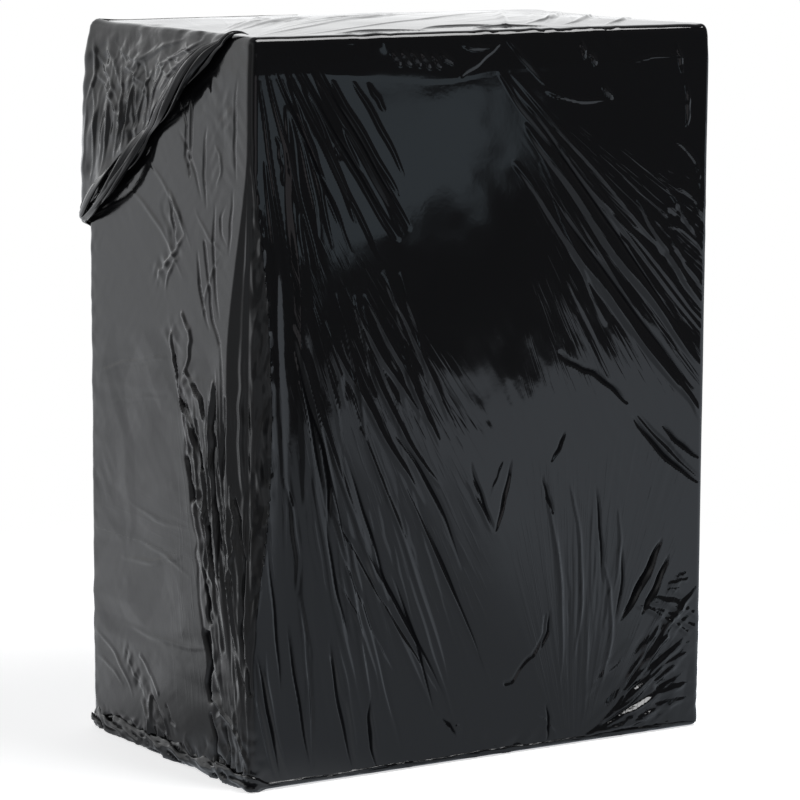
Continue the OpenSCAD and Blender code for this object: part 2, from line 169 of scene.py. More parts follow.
class Sheet:
    """Heights over a flat grid of columns u and rows v, in metres."""

    def __init__(self, us, vs):
        self.us, self.vs = us, vs
        self.u, self.v = np.meshgrid(us, vs)
        self.height = np.zeros((len(vs), len(us)))

    def fold(self, start, middle, end, width, height, skew, seed):
        """Adds a fold along a bent line, given in mm: two flat flanks that taper to both ends."""
        a, m, b = (np.array(p, float) * MM for p in (start, middle, end))
        width, height = width * MM, height * MM
        low = np.minimum(np.minimum(a, b), m) - width
        high = np.maximum(np.maximum(a, b), m) + width
        i0, i1 = np.searchsorted(self.us, [low[0], high[0]])
        j0, j1 = np.searchsorted(self.vs, [low[1], high[1]])
        if i1 <= i0 or j1 <= j0:
            return
        u, v = self.u[j0:j1, i0:i1], self.v[j0:j1, i0:i1]
        length = np.hypot(*(b - a))
        along = (b - a) / length
        across = np.array([-along[1], along[0]])
        w = ((u - a[0]) * along[0] + (v - a[1]) * along[1]) / length
        off = (u - a[0]) * across[0] + (v - a[1]) * across[1]
        bow = (m - (a + b) / 2) @ across
        inside = np.clip(w, 0, 1)
        wander = 0.08 * width * np.sin(2 * math.pi * (2.3 * inside + 0.37 * seed))
        off = off - bow * 4 * inside * (1 - inside) - wander
        swell = np.sin(math.pi * inside) ** 0.7
        reach = 0.5 * width * (0.25 + 0.75 * swell) * np.where(off > 0, 1 + skew, 1 - skew)
        cell = (self.us[i1 - 1] - self.us[i0]) / max(i1 - 1 - i0, 1)
        reach = np.maximum(reach, LEAST_FLANK * cell)
        t = np.clip(1 - (np.hypot(off / reach, CREST) - CREST) / (math.hypot(1, CREST) - CREST), 0, 1)
        narrow = np.clip(4 * MM / reach - 0.3, 0, 1)
        profile = (1 - narrow) * t ** 1.25 + narrow * smooth(t)
        self.height[j0:j1, i0:i1] += np.where((w > 0) & (w < 1), height * swell * profile, 0)

    def folds(self, rows, start=0.0):
        """Adds a list of folds, moved along the grid by start, in mm."""
        for k, (a, m, b, width, height, skew) in enumerate(rows):
            a, m, b = ((start + p[0], p[1]) for p in (a, m, b))
            self.fold(a, m, b, width, height, skew, k)

    def fan(self, start, end, count, width, height, bow, seed):
        """Adds a gather: folds from points of one line to points of another, unlike each other."""
        rng = np.random.default_rng(seed)
        (a0, a1), (b0, b1) = ((np.array(p, float) for p in line) for line in (start, end))
        for k in range(count):
            t = (k + 0.5 + rng.uniform(-0.4, 0.4)) / count
            a = a0 + (a1 - a0) * t
            b = b0 + (b1 - b0) * (t + rng.uniform(-0.05, 0.05))
            first, last = rng.uniform(0, 0.45), rng.uniform(0.5, 1)
            a, b = a + (b - a) * first, a + (b - a) * last
            side = np.array([-(b - a)[1], (b - a)[0]]) / np.hypot(*(b - a))
            middle = (a + b) / 2 + side * bow * (last - first) * rng.uniform(0.7, 1.3)
            wide = max(width * rng.uniform(0.5, 1.6), LEAST_FOLD)
            tall = height * rng.uniform(0.4, 1.2) * (1 if rng.random() < 0.75 else -0.8)
            self.fold(a, middle, b, wide, tall, rng.uniform(-0.6, 0.6), seed + k)

    def streaks(self, pull, width, length, seed, start=0.0):
        """Adds the long thin ridges of a pull; width, length and start in mm."""
        u = self.u - start * MM
        across, along, strength = pull_places(u, self.v, pull)
        flat = np.stack([across, along, np.zeros_like(along)], axis=-1)
        wave = noise(flat, (width * MM, length * MM, 1), seed)
        patch = smooth(noise(flat, (width * 5 * MM, length * 0.8 * MM, 1), seed + 1) * 2 + 0.3)
        ridge = np.clip(1 - np.abs(wave) * 2.0, 0, 1)
        self.height += MM * ridge * patch * strength

    def at(self, u, v):
        """Height at any places, between the grid's points."""
        i = np.clip(np.interp(u, self.us, np.arange(len(self.us))), 0, len(self.us) - 1.001)
        j = np.clip(np.interp(v, self.vs, np.arange(len(self.vs))), 0, len(self.vs) - 1.001)
        i0, j0 = i.astype(int), j.astype(int)
        di, dj = i - i0, j - j0
        low = self.height[j0, i0] * (1 - di) + self.height[j0, i0 + 1] * di
        high = self.height[j0 + 1, i0] * (1 - di) + self.height[j0 + 1, i0 + 1] * di
        return low * (1 - dj) + high * dj


# The wrapped carton's surface, before its film is folded


def face_places(length, cell):
    """Places along a face between its rounded edges, about a cell apart."""
    count = round((length - 2 * EDGE_R) / (cell * COARSE))
    return np.linspace(EDGE_R, length - EDGE_R, count + 1)


def girth_places():
    """Places round the carton, from its back left edge round the left side, front, right and back."""
    arc = EDGE_R * np.array([-2, -1, 0, 1, 2]) / 3
    places = [-DEPTH + arc[2:]]
    for face in ("left", "front", "right", "back"):
        start, length = FACE_STARTS[face], FACE_LENGTHS[face]
        places += [start + face_places(length, CELLS[face]), start + length + arc]
    return np.concatenate(places)[:-2]


def wall_rows():
    """Places up the carton, with finer ones round the rim and the foot."""
    turn = EDGE_R * np.arange(6) / 6
    return np.concatenate([turn, face_places(HEIGHT, ROW), HEIGHT - turn[::-1]])


def box_point(p, v):
    """Place and outward normal on the walls of the rounded box, by distance round it and height."""
    x, y = np.zeros_like(p), np.zeros_like(p)
    turn = np.zeros_like(p)
    half_x, half_y = WIDTH / 2 - EDGE_R, DEPTH / 2 - EDGE_R
    ways = {"left": 180, "front": 270, "right": 360, "back": 450}
    p = (p + DEPTH + GIRTH) % GIRTH - DEPTH
    for face, way in ways.items():
        start, length = FACE_STARTS[face], FACE_LENGTHS[face]
        here = (p >= start - 1e-9) & (p <= start + length + 1e-9)
        q = np.clip(p - start, EDGE_R, length - EDGE_R) - length / 2
        side = np.clip((p - start - (length - EDGE_R)) / EDGE_R, 0, 1)
        side = side - np.clip((EDGE_R - (p - start)) / EDGE_R, 0, 1)
        rad = math.radians(way)
        out_x, out_y = math.cos(rad), math.sin(rad)
        reach = half_y if face in ("front", "back") else half_x
        x = np.where(here, out_x * reach - out_y * q, x)
        y = np.where(here, out_y * reach + out_x * q, y)
        turn = np.where(here, rad + side * math.pi / 4, turn)
    rise = np.clip((v - (HEIGHT - EDGE_R)) / EDGE_R, 0, 1) - np.clip((EDGE_R - v) / EDGE_R, 0, 1)
    lean = rise * math.pi / 2
    normal = np.stack([np.cos(turn) * np.cos(lean), np.sin(turn) * np.cos(lean), np.sin(lean)], axis=-1)
    middle = np.stack([x, y, np.clip(v, EDGE_R, HEIGHT - EDGE_R)], axis=-1)
    return middle + normal * EDGE_R, normal


# How far the near left edge is crushed in at its middle, along the narrow and the wide side
CRUSH_LEFT, CRUSH_FRONT = 0.060, 0.026
# Where the crushed edge has its thin ridge, as a share of the way across it, and its height
RIDGE_AT, RIDGE_HIGH = 0.40, 0.055


def crushed(v):
    """How deep the near left edge is crushed at a height, as a share."""
    return smooth((v / HEIGHT - 0.12) / 0.32) * smooth((0.93 - v / HEIGHT) / 0.38)


def bevel(t, v):
    """How far the crushed edge swells out across its way, as a share of its width."""
    line = np.stack([v, np.zeros_like(v), np.zeros_like(v)], axis=-1)
    ridge = RIDGE_AT + 0.05 * noise(line, 0.07, 31) + 0.02 * noise(line, 0.022, 32)
    tall = RIDGE_HIGH * (0.7 + 0.5 * noise(line, 0.05, 33))
    left = np.clip(1 - np.abs(t - ridge) / 0.11, 0, 1)
    belly = 0.16 * np.clip(t - 0.5, 0, 1) * np.clip(1 - t, 0, 1) * 4
    return tall * smooth(left) + belly


def wall_point(p, v):
    """Place and outward normal on the walls, with the near left edge crushed in between its ends."""
    place, normal = box_point(p, v)
    depth = crushed(v)
    left, front = -CRUSH_LEFT * depth, CRUSH_FRONT * depth
    t = (p - left) / np.maximum(front - left, 1e-6)
    inside = (t > 0) & (t < 1) & (depth > 0.02)
    a, _ = box_point(left, v)
    b, _ = box_point(front, v)
    chord = a + (b - a) * t[..., None]
    out = np.stack([(b - a)[..., 1], -(b - a)[..., 0], np.zeros_like(p)], axis=-1)
    span = np.maximum(np.linalg.norm(out, axis=-1), 1e-6)
    out = out / span[..., None]
    chord = chord + out * (span * bevel(t, v))[..., None]
    pick = inside[..., None]
    return np.where(pick, chord, place), np.where(pick, out, normal)


def settle(place):
    """Carton's own unevenness: edges that wander a little, and a rim that leans in."""
    ways = [noise(place, 0.2, 90 + k) * 1.2 + noise(place, 0.06, 95 + k) * 0.2 for k in range(3)]
    shift = np.stack(ways, axis=-1) * MM
    shift[..., 2] *= smooth(place[..., 2] / 0.05)
    lean = 1 - 0.0075 * smooth((place[..., 2] - 0.848) / 0.06)
    moved = place + shift
    moved[..., :2] *= lean[..., None]
    return moved


# Film folds on the faces, in mm from the lower left corner of a face as it is looked at.
# Each row: start, middle and end of the fold, its width and height, and its lean to one side.
FRONT_FOLDS = [
    ((30, 868), (92, 742), (140, 640), 8, 0.8, 0.3),
    ((42, 872), (112, 750), (178, 630), 8, 1.0, 0.3),
    ((56, 872), (128, 760), (200, 650), 8, 0.7, 0.3),
    ((76, 872), (150, 760), (216, 660), 8, 0.9, 0.3),
    ((22, 862), (58, 740), (98, 600), 9, 0.9, -0.3),
    ((12, 850), (34, 720), (62, 560), 8, 0.8, -0.3),
    ((110, 848), (160, 772), (206, 706), 8, 0.7, 0.4),
    ((140, 846), (176, 792), (214, 728), 7, 0.6, 0.4),
    ((160, 842), (172, 826), (186, 806), 7, 0.6, 0.4),
    ((105, 550), (168, 440), (245, 325), 13, 1.6, 0.4),
    ((130, 600), (190, 500), (255, 420), 8, 0.9, 0.2),
    ((155, 590), (210, 500), (265, 395), 11, 1.5, 0.4),
    ((180, 615), (230, 525), (280, 425), 9, 1.2, 0.4),
    ((60, 560), (118, 335), (180, 25), 14, 2.6, -0.3),
    ((66, 545), (150, 300), (262, 60), 12, 2.2, 0.4),
    ((107, 345), (200, 193), (274, 85), 9, -2.2, 0.3),
    ((143, 590), (196, 440), (268, 345), 11, 1.8, 0.4),
    ((150, 430), (215, 280), (282, 95), 10, 2.0, 0.3),
    ((205, 372), (282, 216), (346, 92), 8, 1.6, 0.4),
    ((105, 340), (152, 225), (205, 120), 9, -2.0, 0.2),
    ((117, 250), (148, 195), (182, 88), 8, 1.7, 0.3),
    ((70, 232), (80, 150), (88, 20), 7.5, -2.4, 0.2),
    ((150, 260), (178, 150), (214, 26), 8, -1.6, 0.3),
    ((222, 240), (252, 150), (292, 50), 7.5, 1.3, 0.3),
    ((4, 180), (15, 87), (38, 6), 8, -2.2, 0.3),
    ((20, 170), (30, 90), (52, 12), 7.5, 1.8, 0.3),
    ((47, 378), (62, 305), (66, 236), 10, 2.0, 0.3),
    ((107, 165), (132, 80), (147, 5), 11, -2.0, 0.1),
    ((118, 180), (138, 90), (148, 20), 7, 1.3, 0.3),
    ((165, 60), (172, 32), (180, 5), 8, -1.4, 0.2),
    ((70, 225), (82, 165), (86, 108), 7, -1.2, 0.2),
    ((52, 420), (74, 250), (78, 60), 22, 1.2, 0.3),
    ((30, 560), (44, 420), (50, 260), 12, 1.0, 0.3),
    ((46, 820), (66, 600), (72, 330), 26, 2.0, 0.3),
    ((20, 760), (38, 560), (46, 330), 18, 1.4, 0.2),
    ((345, 852), (392, 792), (452, 738), 6, 1.4, 0.3),
    ((560, 682), (615, 625), (664, 568), 9, 1.1, 0.3),
    ((355, 895), (385, 862), (416, 834), 5, 1.4, 0.2),
    ((530, 853), (580, 862), (628, 860), 5, 0.8, 0.2),
    ((415, 826), (460, 812), (512, 813), 5, 0.9, 0.2),
    ((600, 760), (640, 735), (655, 690), 7, 1.0, 0.2),
    ((610, 700), (645, 680), (660, 640), 6, 0.9, 0.2),
    ((598, 650), (632, 640), (660, 605), 6, 0.9, -0.2),
    ((305, 352), (322, 320), (344, 282), 7, 0.7, 0.3),
    ((318, 362), (330, 330), (346, 290), 6, 0.5, 0.3),
    ((370, 358), (362, 325), (348, 284), 7, -0.6, -0.3),
    ((360, 372), (352, 350), (340, 330), 6, 0.5, -0.3),
    ((545, 158), (578, 200), (602, 250), 15, -3.4, 0.5),
    ((574, 158), (596, 188), (613, 228), 11, -2.6, 0.4),
    ((560, 415), (612, 366), (664, 320), 8, -1.8, 0.2),
    ((346, 856), (500, 692), (662, 524), 9, 1.5, 0.3),
    ((350, 846), (506, 678), (664, 508), 8, 1.3, 0.3),
    ((362, 848), (520, 696), (664, 548), 8, 1.2, -0.3),
    ((386, 786), (520, 624), (664, 462), 30, 3.2, 0.5),
    ((368, 740), (510, 570), (664, 400), 22, 2.6, 0.5),
    ((440, 640), (540, 530), (640, 430), 9, 1.0, 0.3),
    ((600, 700), (640, 644), (664, 606), 10, 1.2, 0.3),
    ((553, 684), (618, 598), (664, 536), 16, 2.2, 0.3),
    ((590, 648), (640, 590), (666, 560), 9, 1.4, 0.3),
    ((610, 470), (640, 430), (664, 392), 8, 1.2, 0.3),
    ((418, 345), (442, 250), (448, 80), 9, 1.8, 0.3),
    ((460, 338), (478, 240), (470, 110), 9, 1.7, 0.2),
    ((512, 232), (528, 187), (506, 60), 9, 1.6, 0.2),
    ((535, 300), (538, 240), (530, 190), 8, 1.2, 0.2),
    ((270, 60), (285, 45), (300, 30), 6, 0.9, 0.2),
    ((340, 20), (352, 10), (372, 6), 6, 0.9, 0.2),
    ((410, 46), (432, 30), (446, 8), 6, 1.0, 0.2),
    ((192, 880), (200, 872), (208, 862), 7, 2.0, 0.4),
    ((206, 880), (214, 871), (222, 861), 7, 2.2, 0.4),
    ((220, 879), (228, 870), (236, 860), 7, 2.0, 0.4),
    ((234, 878), (242, 868), (250, 857), 7, 2.2, 0.4),
    ((250, 875), (257, 866), (264, 856), 7, 1.8, 0.4),
    ((262, 876), (274, 866), (284, 862), 7, 1.6, 0.4),
    ((466, 886), (470, 876), (474, 862), 7, 2.4, 0.5),
    ((480, 870), (486, 862), (490, 854), 7, 2.2, 0.5),
    ((500, 828), (508, 820), (516, 812), 7, 2.0, 0.4),
    ((612, 880), (618, 860), (622, 838), 8, 1.6, 0.2),
    ((628, 830), (632, 800), (630, 770), 8, 1.4, 0.2),
    ((290, 846), (318, 862), (350, 886), 9, 2.0, 0.4),
    ((292, 884), (318, 880), (352, 884), 7, 1.4, -0.4),
]
LEFT_FOLDS = [
    ((206, 706), (226, 684), (246, 652), 8, 1.8, 0.2),
    ((246, 656), (222, 634), (176, 600), 9, 2.0, 0.2),
    ((206, 700), (216, 668), (222, 640), 8, -1.8, 0.2),
    ((232, 628), (206, 606), (196, 584), 8, 1.6, 0.2),
    ((150, 742), (200, 706), (262, 640), 9, 0.8, 0.2),
    ((100, 700), (170, 668), (240, 600), 10, 0.9, 0.2),
    ((372, 850), (366, 790), (368, 730), 8, -1.4, 0.2),
    ((362, 720), (356, 690), (350, 640), 8, -1.2, 0.2),
    ((318, 700), (314, 640), (326, 560), 8, -1.6, -0.3),
    ((300, 790), (292, 740), (298, 690), 8, -1.4, 0.2),
    ((318, 770), (334, 740), (322, 720), 8, 1.2, 0.2),
    ((344, 700), (330, 676), (346, 650), 8, -1.2, 0.2),
    ((270, 690), (300, 660), (340, 640), 8, 0.8, 0.2),
    ((230, 780), (262, 744), (286, 700), 8, -1.2, 0.3),
    ((330, 640), (300, 600), (286, 560), 8, 0.9, 0.2),
    ((215, 532), (250, 390), (334, 98), 13, 1.9, 0.3),
    ((285, 440), (310, 320), (352, 200), 10, 1.9, 0.2),
    ((260, 470), (286, 360), (322, 240), 9, 1.6, 0.3),
    ((330, 540), (334, 440), (350, 330), 9, -1.6, 0.2),
    ((316, 420), (336, 320), (352, 220), 9, -1.8, 0.3),
    ((250, 860), (262, 800), (252, 730), 8, -1.6, 0.2),
    ((276, 640), (282, 590), (304, 545), 8, -1.8, 0.2),
    ((350, 215), (372, 150), (396, 110), 9, -2.4, 0.3),
    ((30, 462), (120, 486), (212, 502), 10, 1.3, 0.3),
    ((60, 428), (140, 444), (200, 452), 9, 1.0, 0.3),
    ((36, 470), (84, 390), (100, 250), 50, 0.8, 0.0),
    ((80, 236), (160, 240), (240, 262), 10, 1.3, 0.3),
    ((90, 150), (180, 146), (300, 156), 10, 1.2, 0.3),
    ((292, 335), (297, 318), (300, 300), 6, 2.2, 0.2),
    ((340, 400), (352, 260), (362, 120), 9, 1.6, 0.3),
    ((362, 420), (372, 280), (380, 130), 9, 1.8, -0.3),
    ((385, 330), (388, 220), (396, 60), 8, 1.6, 0.3),
    ((156, 60), (120, 84), (88, 116), 6, 0.9, 0.2),
    ((156, 60), (180, 36), (205, 24), 6, 0.9, 0.2),
    ((100, 310), (180, 296), (270, 300), 9, 0.9, 0.2),
    ((110, 262), (190, 256), (260, 236), 9, 0.9, 0.2),
    ((10, 130), (60, 108), (110, 60), 9, 1.2, 0.2),
    ((8, 96), (40, 92), (84, 70), 8, 1.0, 0.2),
    ((130, 60), (146, 44), (150, 12), 9, 2.2, 0.3),
    ((176, 60), (196, 40), (200, 22), 8, 1.6, 0.2),
]
BACK_FOLDS = [
    ((25, 830), (160, 690), (330, 520), 40, 4.0, 0.3),
    ((60, 860), (220, 720), (400, 500), 34, 3.4, -0.3),
    ((640, 420), (500, 250), (330, 120), 40, 4.0, 0.2),
    ((650, 300), (540, 180), (400, 60), 32, -3.0, 0.2),
    ((20, 400), (120, 300), (180, 120), 34, 3.4, 0.2),
    ((300, 790), (400, 720), (560, 730), 28, 2.6, 0.2),
    ((40, 640), (190, 470), (300, 240), 36, 3.6, 0.3),
    ((200, 440), (330, 360), (480, 330), 30, 2.8, -0.3),
]
RIGHT_FOLDS = [
    ((5, 560), (180, 440), (398, 330), 36, 4.0, 0.3),
    ((5, 470), (200, 380), (398, 250), 32, 3.4, -0.3),
    ((5, 396), (190, 320), (398, 190), 26, -2.6, 0.2),
    ((5, 170), (200, 200), (398, 300), 30, 3.2, 0.2),
    ((40, 880), (200, 780), (380, 640), 34, 3.4, 0.2),
    ((120, 500), (200, 520), (300, 480), 26, 2.4, 0.3),
    ((20, 760), (150, 640), (390, 560), 32, 3.2, 0.3),
]
TOP_FOLDS = [
    ((20, 20), (200, 150), (420, 330), 14, 1.4, 0.2),
    ((60, 10), (250, 110), (560, 300), 12, 1.2, 0.2),
    ((10, 90), (120, 210), (240, 350), 12, 1.3, -0.2),
    ((430, 60), (560, 180), (650, 330), 20, 3.4, 0.3),
    ((470, 40), (590, 150), (655, 260), 16, 3.0, 0.2),
    ((520, 20), (600, 90), (660, 160), 14, 2.6, 0.3),
    ((380, 30), (500, 220), (620, 390), 18, 2.4, 0.3),
    ((240, 20), (310, 60), (400, 40), 12, 2.0, 0.2),
    ((320, 16), (370, 44), (440, 24), 12, 2.2, 0.2),
    ((120, 14), (180, 40), (260, 18), 12, 1.8, 0.2),
]
# Veins of crumpled film: face, points of the bent line, its half width and the crumples' height, in mm
VEINS = [
    ("left", ((222, 525), (248, 480), (262, 400), (284, 330)), 34, 1.8),
    ("left", ((284, 330), (306, 240), (322, 120), (330, 60)), 24, 1.6),
    ("left", ((96, 112), (140, 72), (160, 40)), 24, 1.8),
    ("left", ((200, 30), (330, 34), (400, 60)), 22, 1.6),
    ("left", ((190, 690), (226, 640), (180, 604)), 20, 1.2),
    ("front", ((270, 60), (350, 12), (440, 20)), 16, 1.2),
    ("right", ((60, 30), (200, 60), (360, 40)), 30, 1.6),
    ("back", ((560, 60), (420, 40), (200, 60)), 30, 1.6),
]
# Cracks and thin ridges of crumpled film: face, points of the bent line, half width, and how far
# it stands out, in mm
CRACKS = [
    ("left", ((240, 436), (246, 400), (244, 387), (257, 340), (273, 280), (280, 220), (300, 153),
              (307, 93)), 4.0, -1.0),
    ("left", ((249, 382), (258, 356), (262, 338)), 6.5, -6.0),
    ("left", ((272, 430), (278, 408), (293, 367), (300, 320), (310, 260), (327, 200), (337, 160)),
     4.0, -2.0),
    ("left", ((303, 306), (308, 282), (313, 262)), 6.5, -5.0),
    ("left", ((264, 418), (280, 396), (286, 380)), 7.0, -3.0),
    ("left", ((292, 250), (302, 212), (308, 190)), 5.0, -3.5),
    ("left", ((298, 170), (310, 140), (300, 112), (306, 92)), 7.0, -5.0),
    ("left", ((210, 530), (214, 500), (230, 467), (238, 440), (262, 424)), 5.0, 2.6),
    ("left", ((216, 508), (232, 462), (240, 446)), 3.5, -3.0),
    ("left", ((236, 556), (256, 544), (260, 530), (247, 493), (262, 474), (280, 460), (288, 436)),
     5.0, 2.6),
    ("left", ((268, 476), (284, 462), (290, 440)), 3.0, -2.6),
    ("left", ((246, 430), (266, 398), (272, 350), (290, 300), (296, 240)), 4.5, 2.4),
    ("left", ((310, 487), (303, 413), (308, 373)), 4.5, 2.0),
    ("left", ((316, 480), (311, 413), (316, 350), (330, 250)), 4.0, -2.8),
    ("left", ((338, 470), (333, 367), (346, 300), (342, 240)), 4.0, -2.4),
    ("left", ((353, 360), (361, 307), (353, 253), (362, 180)), 4.5, 2.2),
    ("left", ((363, 347), (386, 280), (380, 187), (402, 118)), 4.0, -2.6),
    ("left", ((130, 116), (160, 96), (176, 76)), 4.5, 1.2),
    ("left", ((152, 72), (156, 40), (150, 16)), 4.5, 2.0),
    ("left", ((156, 72), (172, 60), (196, 36)), 3.5, -1.8),
    ("left", ((196, 66), (206, 48), (216, 44)), 3.5, -1.6),
    ("left", ((310, 96), (336, 84), (372, 60), (400, 24)), 5.0, 2.0),
    ("left", ((306, 74), (322, 40), (318, 14)), 4.5, -3.0),
    ("left", ((340, 66), (352, 40), (350, 14)), 4.5, -2.6),
    ("left", ((238, 818), (250, 790), (246, 750), (256, 730)), 3.5, -1.5),
    ("left", ((292, 650), (300, 610), (312, 560), (326, 530)), 3.5, -1.5),
    ("front", ((427, 170), (424, 150), (408, 122), (380, 100), (366, 90)), 2.8, -1.6),
]
# Sharp creases of the front, as its folds; the same lines are also darkened with painted shade
FRONT_CREASES = [
    ((92, 430), (104, 370), (108, 306), 6.5, -1.6, 0.3),
    ((104, 330), (116, 250), (140, 170), 6.5, -1.6, 0.3),
    ((111, 178), (124, 90), (146, 4), 8, -2.6, 0.3),
    ((168, 100), (168, 50), (180, 2), 8, -2.4, 0.3),
    ((150, 300), (216, 190), (280, 80), 6.5, -1.8, 0.3),
    ((128, 402), (166, 300), (198, 210), 6.5, -1.5, 0.3),
    ((60, 540), (84, 430), (104, 330), 6.5, -1.4, 0.3),
    ((66, 500), (106, 380), (140, 250), 6, -1.2, 0.3),
    ((52, 204), (66, 110), (84, 16), 6.5, -1.6, 0.3),
    ((24, 300), (36, 200), (44, 110), 6.5, -1.2, 0.3),
    ((8, 176), (24, 100), (42, 12), 6, -2.2, 0.3),
    ((196, 250), (236, 150), (262, 60), 6, -1.2, 0.3),
    ((232, 330), (290, 210), (340, 100), 6, -1.2, 0.3),
    ((200, 420), (262, 330), (300, 240), 6, -1.2, 0.3),
    ((270, 60), (284, 48), (294, 32), 6.5, -1.6, 0.3),
    ((418, 346), (426, 320), (436, 298), 6.5, -1.6, 0.3),
    ((452, 402), (444, 384), (430, 364), 6, -1.0, 0.3),
    ((310, 372), (326, 330), (346, 284), 6.5, -1.5, 0.3),
    ((372, 372), (362, 330), (348, 282), 6.5, -1.5, -0.3),
    ((430, 176), (428, 150), (416, 128), 6, -1.6, 0.3),
    ((428, 60), (432, 34), (430, 6), 6, -2.0, 0.3),
    ((500, 330), (508, 260), (512, 200), 6.5, -1.4, 0.2),
    ((540, 250), (542, 200), (530, 150), 6.5, -1.4, 0.2),
    ((555, 414), (600, 362), (664, 318), 8, -2.2, 0.3),
    ((600, 400), (630, 370), (664, 350), 6.5, -1.4, 0.3),
    ((540, 150), (580, 205), (604, 252), 11, -3.0, 0.4),
    ((572, 156), (596, 190), (614, 230), 8, -2.4, 0.4),
    ((376, 822), (504, 666), (640, 500), 6.5, -1.6, 0.3),
    ((420, 700), (530, 570), (650, 440), 6.5, -1.4, 0.3),
    ((478, 480), (520, 452), (548, 428), 6, -1.3, 0.3),
    ((440, 500), (470, 480), (500, 470), 6, -1.2, 0.3),
    ((30, 868), (92, 742), (140, 640), 6, -1.2, 0.3),
    ((60, 872), (132, 760), (206, 652), 6, -1.2, 0.3),
    ((84, 872), (156, 764), (222, 664), 6, -1.2, 0.3),
]
# Crumpled film: face, the box that it fills, that box's soft edge and the crumples' height, in mm
CRUMPLED = [
    ("front", (-30, -10), (26, 40), 16, 1.2),
    ("front", (590, 600), (672, 780), 30, 0.35),
    ("left", (-20, -10), (420, 30), 16, 2.0),
    ("left", (-30, 30), (16, 860), 20, 0.35),
]
# Crumples that are drawn out one way: height in mm, angle in degrees up from the right, how drawn
# out they are, size in metres and a seed
DRAWN_OUT = {
    "crushed edge": (2.6, 86, 3, 0.016, 16),
    "lower corner": (1.7, 43, 5, 0.014, 26),
    "torn middle": (0.13, -52, 6, 0.012, 56),
    "narrow side": (1.5, 8, 4, 0.030, 36),
}
# Soft swells of the front: middle, half width and half height, and how far they stand out, in mm
SWELLS = [
    ((320, 388), (120, 80), 1.5),
    ((345, 320), (34, 60), 0.6),
    ((420, 450), (40, 50), 0.5),
    ((240, 500), (60, 60), 0.5),
]
# Gathers: face, the line that the folds leave and the line that they reach, how many there are,
# their width, height and bow, and a seed
GATHERS = [
    ("front", ((15, 870), (90, 872)), ((50, 600), (230, 650)), 9, 8, 0.7, 8, 21),
    ("front", ((60, 600), (200, 640)), ((120, 330), (280, 410)), 12, 11, 0.8, 6, 22),
    ("front", ((60, 420), (190, 470)), ((130, 20), (320, 90)), 18, 9, 0.9, -8, 23),
    ("front", ((350, 850), (400, 740)), ((560, 420), (665, 580)), 8, 8, 0.7, -3, 24),
    ("front", ((470, 6), (505, 8)), ((665, 20), (640, 200)), 34, 8, 1.9, -6, 25),
    ("front", ((530, 20), (570, 90)), ((665, 30), (665, 190)), 24, 8, 1.7, 4, 28),
    ("front", ((560, 170), (600, 190)), ((665, 110), (665, 210)), 8, 8, 1.8, 2, 26),
    ("front", ((430, 380), (540, 330)), ((460, 20), (500, 20)), 12, 7, 0.7, 4, 29),
    ("left", ((270, 520), (330, 540)), ((330, 90), (395, 110)), 12, 9, 1.6, -12, 32),
    ("left", ((300, 420), (340, 420)), ((372, 60), (402, 90)), 9, 9, 2.0, 2, 34),
    ("left", ((330, 130), (395, 150)), ((370, 10), (402, 10)), 8, 8, 1.6, 2, 35),
    ("right", ((5, 620), (5, 380)), ((398, 380), (398, 180)), 10, 22, 2.2, 8, 41),
    ("right", ((5, 20), (5, 190)), ((398, 40), (398, 300)), 9, 20, 2.0, -6, 42),
    ("right", ((30, 885), (160, 885)), ((300, 560), (398, 640)), 8, 22, 2.2, 8, 43),
    ("back", ((20, 850), (90, 885)), ((420, 440), (600, 600)), 9, 28, 2.6, 10, 51),
    ("back", ((650, 440), (640, 260)), ((300, 60), (260, 160)), 8, 26, 2.4, -10, 52),
    ("back", ((10, 560), (10, 360)), ((240, 280), (180, 60)), 8, 26, 2.4, 6, 53),
    ("back", ((300, 885), (520, 885)), ((470, 640), (620, 700)), 7, 26, 2.2, -6, 54),
]
# Gathers of the top and of the hood, as those of the walls but without a face
TOP_GATHERS = [
    (((20, 20), (20, 120)), ((560, 390), (300, 390)), 20, 10, 1.0, 8, 61),
    (((420, 60), (520, 20)), ((650, 390), (655, 240)), 16, 9, 1.2, -8, 62),
]
HOOD_GATHERS = [
    (((-20, 650), (160, 790)), ((-10, 890), (210, 890)), 14, 10, 1.3, 4, 71),
    (((180, 800), (330, 880)), ((60, 860), (300, 895)), 9, 10, 1.2, 4, 72),
    (((-280, 500), (-30, 640)), ((-240, 880), (-20, 880)), 22, 11, 1.8, 10, 73),
]
# Pulled film on each face: where its streaks spread from, the box that they fill, the angles that
# they take, in degrees up from the right, and their height
PULLS = {
    "front": [((-50, 950), (-10, 20, 330, 640), (-86, -54), 0.28),
              ((250, 930), (400, 440, 690, 780), (-80, -30), 0.34),
              ((470, -60), (390, 10, 640, 380), (30, 110), 0.3)],
    "left": [((310, 1300), (330, 60, 420, 480), (-100, -60), 0.4),
             ((120, 900), (220, 80, 350, 480), (-90, -50), 0.4),
             ((700, 260), (10, 60, 300, 330), (150, 210), 0.3)],
    "right": [((-80, 800), (-20, 200, 420, 620), (-70, -10), 0.6),
              ((-90, 60), (-20, 20, 420, 320), (-10, 60), 0.6),
              ((-20, 1000), (10, 500, 420, 890), (-85, -30), 0.5)],
    "back": [((-60, 960), (-10, 350, 620, 890), (-80, -15), 0.7),
             ((760, 560), (200, 20, 680, 460), (-178, -110), 0.7),
             ((-100, 620), (-10, 40, 280, 560), (-85, -30), 0.6)],
}
TOP_PULL = ((-60, -60), (-10, -10, 500, 420), (10, 80), 0.4)
